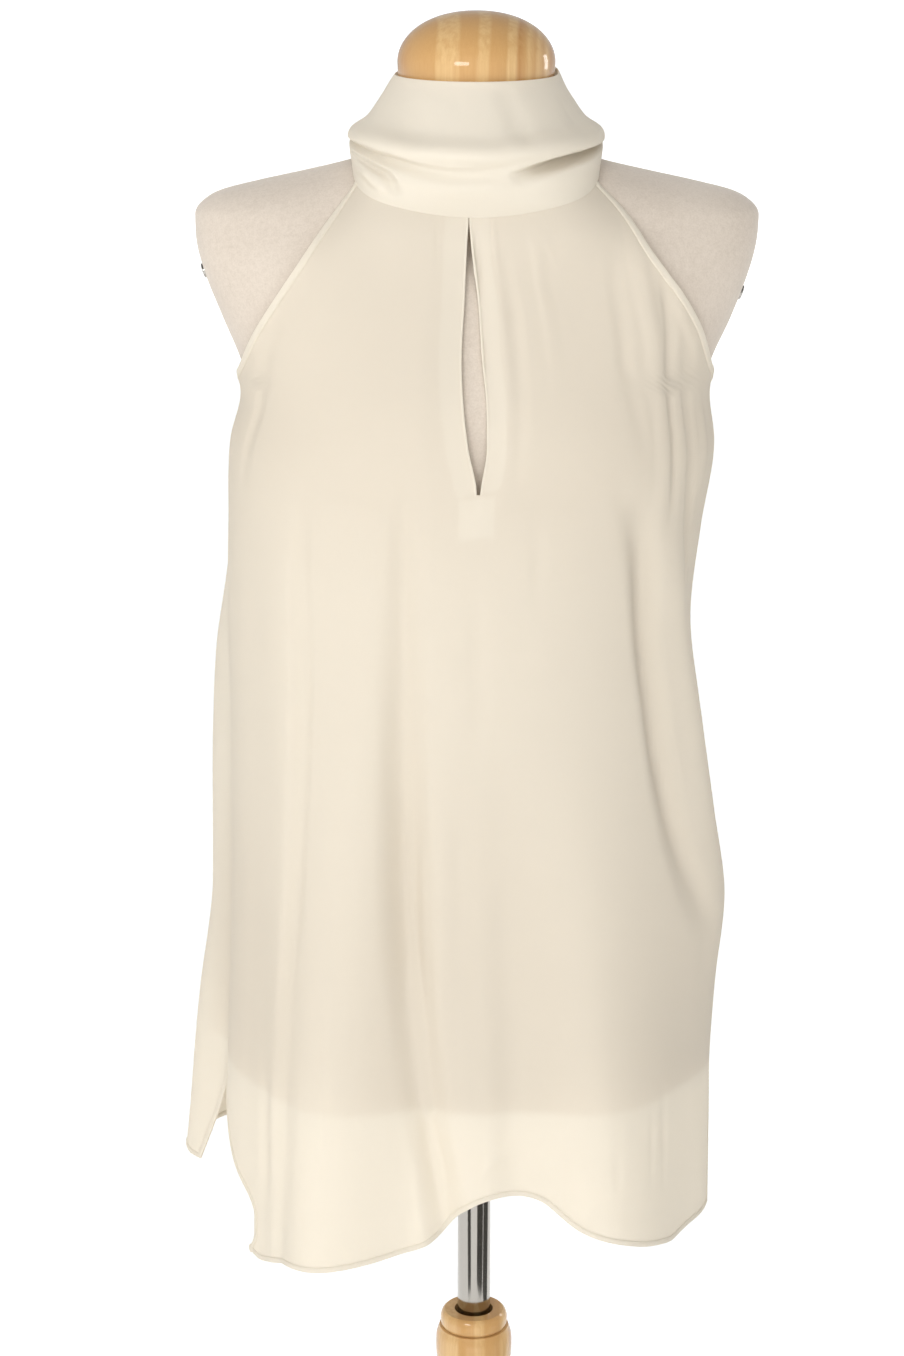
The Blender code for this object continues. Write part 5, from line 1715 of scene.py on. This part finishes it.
@dataclass
class Lathe:
    """Turns round pieces: rings are extruded from a circle and scaled to a profile."""

    sides: int = 96

    def turn(self, name: str, profile: Sequence[TurnPoint], bore: float | None) -> Thing:
        """Turn a piece.

        Args:
            name: The object's name.
            profile: Radii and heights from the bottom of the outside to its top.
            bore: Radius of a hole right through, if it has one.

        Returns:
            The piece, at the origin.
        """
        bpy.ops.object.select_all(action="DESELECT")
        first = profile[0]
        foot = (0, 0, first.z)
        bpy.ops.mesh.primitive_circle_add(vertices=self.sides, radius=first.r, location=foot)
        piece = bpy.context.object
        piece.name = piece.data.name = name
        bpy.ops.object.mode_set(mode="EDIT")
        bpy.ops.mesh.select_all(action="SELECT")
        path = list(profile[1:])
        if bore is not None:
            path += [TurnPoint(bore, profile[-1].z), TurnPoint(bore, first.z)]
        last = first
        for point in path:
            move = {"value": (0, 0, point.z - last.z)}
            bpy.ops.mesh.extrude_region_move(TRANSFORM_OT_translate=move)
            factor = point.r / last.r
            bpy.ops.transform.resize(value=(factor, factor, 1), center_override=(0, 0, point.z))
            last = point
        if bore is None:
            bpy.ops.mesh.edge_face_add()
            bpy.ops.mesh.select_all(action="DESELECT")
        bpy.ops.object.mode_set(mode="OBJECT")
        self.close_foot(piece, bore is not None)
        bpy.ops.object.transform_apply(location=True, rotation=True, scale=True)
        face_outwards(piece)
        smooth(piece.data, TURNED_EDGE)
        return piece

    def close_foot(self, piece: Thing, bored: bool) -> None:
        """Fill the first ring, or join it to the last one of a bore."""
        last_ring = len(piece.data.vertices) - self.sides
        for vertex in piece.data.vertices:
            vertex.select = vertex.index < self.sides or (bored and vertex.index >= last_ring)
        bpy.ops.object.mode_set(mode="EDIT")
        bpy.ops.mesh.select_mode(type="VERT")
        if bored:
            bpy.ops.mesh.bridge_edge_loops()
        else:
            bpy.ops.mesh.edge_face_add()
        bpy.ops.object.mode_set(mode="OBJECT")


def fair(profile: Sequence[TurnPoint], steps: int) -> list[TurnPoint]:
    """A turned profile smoothed between its points.

    Args:
        profile: The points to pass through.
        steps: How many steps to take between two points.

    Returns:
        The smoothed profile.
    """
    keys = np.arange(len(profile))
    at = np.linspace(0, len(profile) - 1, (len(profile) - 1) * steps + 1)
    r = smooth_curve(keys, [p.r for p in profile], at)
    z = smooth_curve(keys, [p.z for p in profile], at)
    return [TurnPoint(float(a), float(b)) for a, b in zip(r, z)]


@dataclass
class Stand:
    """The turned pine stand, its steel pole and socket, and the cap on the neck."""

    shop: Workshop
    lathe: Lathe = field(default_factory=Lathe)

    def make(self) -> None:
        """Turn every wooden and steel piece."""
        pine, steel = Slot.PINE, Slot.STEEL
        self.turn_piece("turned_cap", self.cap_profile(), pine, "neck_cap")
        self.turn_piece("turned_column", fair(COLUMN, 5), pine, "stand_column", 0.0131)
        self.turn_piece("turned_ring", fair(RING, 5), pine, "stand_ring", 0.0146)
        self.turn_piece("turned_base", fair(BASE, 5), pine, "stand_base")
        self.turn_piece("steel_pole", POLE, steel, "pole")
        self.turn_piece("steel_socket", fair(SOCKET, 4), steel, "pole_socket", 0.0130)

    def turn_piece(
        self,
        name: str,
        profile: Sequence[TurnPoint],
        slot: Slot,
        node: str,
        bore: float | None = None,
    ) -> None:
        """Turn a piece and finish it.

        Args:
            name: The object's name.
            profile: Radii and heights from the bottom up.
            slot: Its finish.
            node: The solid that it stands for.
            bore: Radius of a hole right through, if it has one.
        """
        self.shop.dress(self.lathe.turn(name, profile, bore), slot, [node])

    def cap_profile(self) -> list[TurnPoint]:
        """The neck cap: a short side that swells from the neck, and a dome."""
        profile = fair(rows(TurnPoint, [
            (0.05, NECK_TOP + 0.0004),
            (0.053, NECK_TOP + 0.004),
            (CAP_RADIUS - 0.0003, CAP_SIDE_Z - 0.008),
        ]), 4)
        for step in np.linspace(0, math.pi / 2, 30)[:-1]:
            rise = (CAP_TOP - CAP_SIDE_Z) * math.sin(step)
            profile.append(TurnPoint(CAP_RADIUS * math.cos(step) ** 0.93, CAP_SIDE_Z + rise))
        return profile


# ---------------------------------------------------------------- studio
@dataclass
class Studio:
    """A pale floor and wall, soft lights and the camera.

    focal, picture_height and off_middle are in the photo's pixels.
    """

    distance: float = 2.23
    height: float = 1.492
    pitch: float = 15.65
    focal: float = 3191.0
    picture_height: float = 1356.0
    off_middle: float = 24.0
    sensor: float = 36.0
    lit_height: float = 0.9
    card_distance: float = 0.42
    card_height: float = 0.48

    def make(self) -> None:
        """Set up everything round the object."""
        self.lay_floor()
        self.hang_lights()
        self.place_camera()

    def lay_floor(self) -> None:
        """A pale floor, a wall far behind and three low dark cards for the steel to mirror."""
        pale = self.plain("pale_floor", (0.93, 0.93, 0.92), 0.42)
        dark = self.plain("dark_card", (0.10, 0.10, 0.095), 0.0)
        self.board("studio_floor", (24.0, 24.0), (0, 0, 0), (0, 0, 0), pale)
        wall = self.board("studio_wall", (24.0, 19.0), (0, 6.2, 6.9), (math.pi / 2, 0, 0), pale)
        wall.visible_glossy = False
        far, tall = self.card_distance, self.card_height
        for name, azimuth, wide in (
            ("card_left", -34.0, 0.17),
            ("card_right", 44.0, 0.34),
            ("card_far_right", 92.0, 0.34),
        ):
            turn = math.radians(azimuth)
            place = (far * math.sin(turn), -far * math.cos(turn), tall / 2)
            card = self.board(name, (wide, tall), place, (math.pi / 2, 0, turn), dark)
            card.visible_camera = card.visible_shadow = card.visible_diffuse = False

    def plain(self, name: str, colour: Triple, glow: float) -> Material:
        """A plain matt finish that may glow a little."""
        nodes = Nodes(name)
        body = nodes.body(
            Base_Color=(*colour, 1), Roughness=0.9,
            Emission_Color=(1, 1, 1, 1), Emission_Strength=glow,
        )
        return nodes.end(body)

    def board(self, name: str, size: tuple, place: tuple, turn: tuple, material: Material) -> Thing:
        """Put up a flat board that isn't part of the object.

        Args:
            name: The object's name.
            size: Its width and height.
            place: Its middle.
            turn: How it is turned, in radians.
            material: Its finish.

        Returns:
            The board.
        """
        bpy.ops.object.select_all(action="DESELECT")
        bpy.ops.mesh.primitive_plane_add(size=1.0, location=place, rotation=turn)
        board = bpy.context.object
        board.name = name
        board.scale = (*size, 1.0)
        bpy.ops.object.transform_apply(location=True, rotation=True, scale=True)
        board.data.materials.append(material)
        return board

    def hang_lights(self) -> None:
        """Soft boxes in front, above and at the right, and a surrounding that is dim above."""
        scene = bpy.context.scene
        scene.view_settings.view_transform = "Standard"
        scene.world = world = bpy.data.worlds.new("soft_studio")
        world.use_nodes = True
        tree = world.node_tree
        place = tree.nodes.new("ShaderNodeTexCoord")
        split = tree.nodes.new("ShaderNodeSeparateXYZ")
        ramp = tree.nodes.new("ShaderNodeValToRGB")
        for stop, (share, grey) in zip(ramp.color_ramp.elements, ((0.0, 0.62), (0.75, 0.16))):
            stop.position, stop.color = share, (grey, grey, grey, 1)
        tree.links.new(place.outputs["Generated"], split.inputs[0])
        tree.links.new(split.outputs[2], ramp.inputs[0])
        tree.links.new(ramp.outputs[0], tree.nodes["Background"].inputs[0])
        for box in SOFT_BOXES:
            light = bpy.data.lights.new(box.name, "AREA")
            light.shape = "RECTANGLE"
            light.size, light.size_y = box.size
            light.energy = box.watts
            lamp = bpy.data.objects.new(box.name, light)
            lamp.visible_glossy = box.mirrored
            bpy.context.collection.objects.link(lamp)
            a, e = math.radians(box.azimuth), math.radians(box.elevation)
            way = np.array([math.sin(a) * math.cos(e), -math.cos(a) * math.cos(e), math.sin(e)])
            lamp.location = tuple(np.array([0.0, 0.0, self.lit_height]) + way * box.far)
            lamp.rotation_euler = (math.pi / 2 - e, 0, a)

    def place_camera(self) -> None:
        """The camera, a little above and square to the front."""
        data = bpy.data.cameras.new("camera")
        data.sensor_width = self.sensor
        data.lens = self.focal / self.picture_height * self.sensor
        data.clip_end = 50.0
        camera = bpy.data.objects.new("camera", data)
        bpy.context.collection.objects.link(camera)
        camera.location = (0.0, -self.distance, self.height)
        yaw = math.atan(self.off_middle / self.focal)
        camera.rotation_euler = (math.pi / 2 - math.radians(self.pitch), 0, yaw)
        bpy.context.scene.camera = camera


def main() -> None:
    """Build the studio, the stand, the form and the blouse round the frame."""
    logging.basicConfig(level=logging.INFO, format="%(message)s")
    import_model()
    shop = Workshop()
    shop.prepare()
    Studio().make()
    Stand(shop).make()
    DressForm(shop).make()
    Blouse(shop).make()


if __name__ == "__main__":
    main()
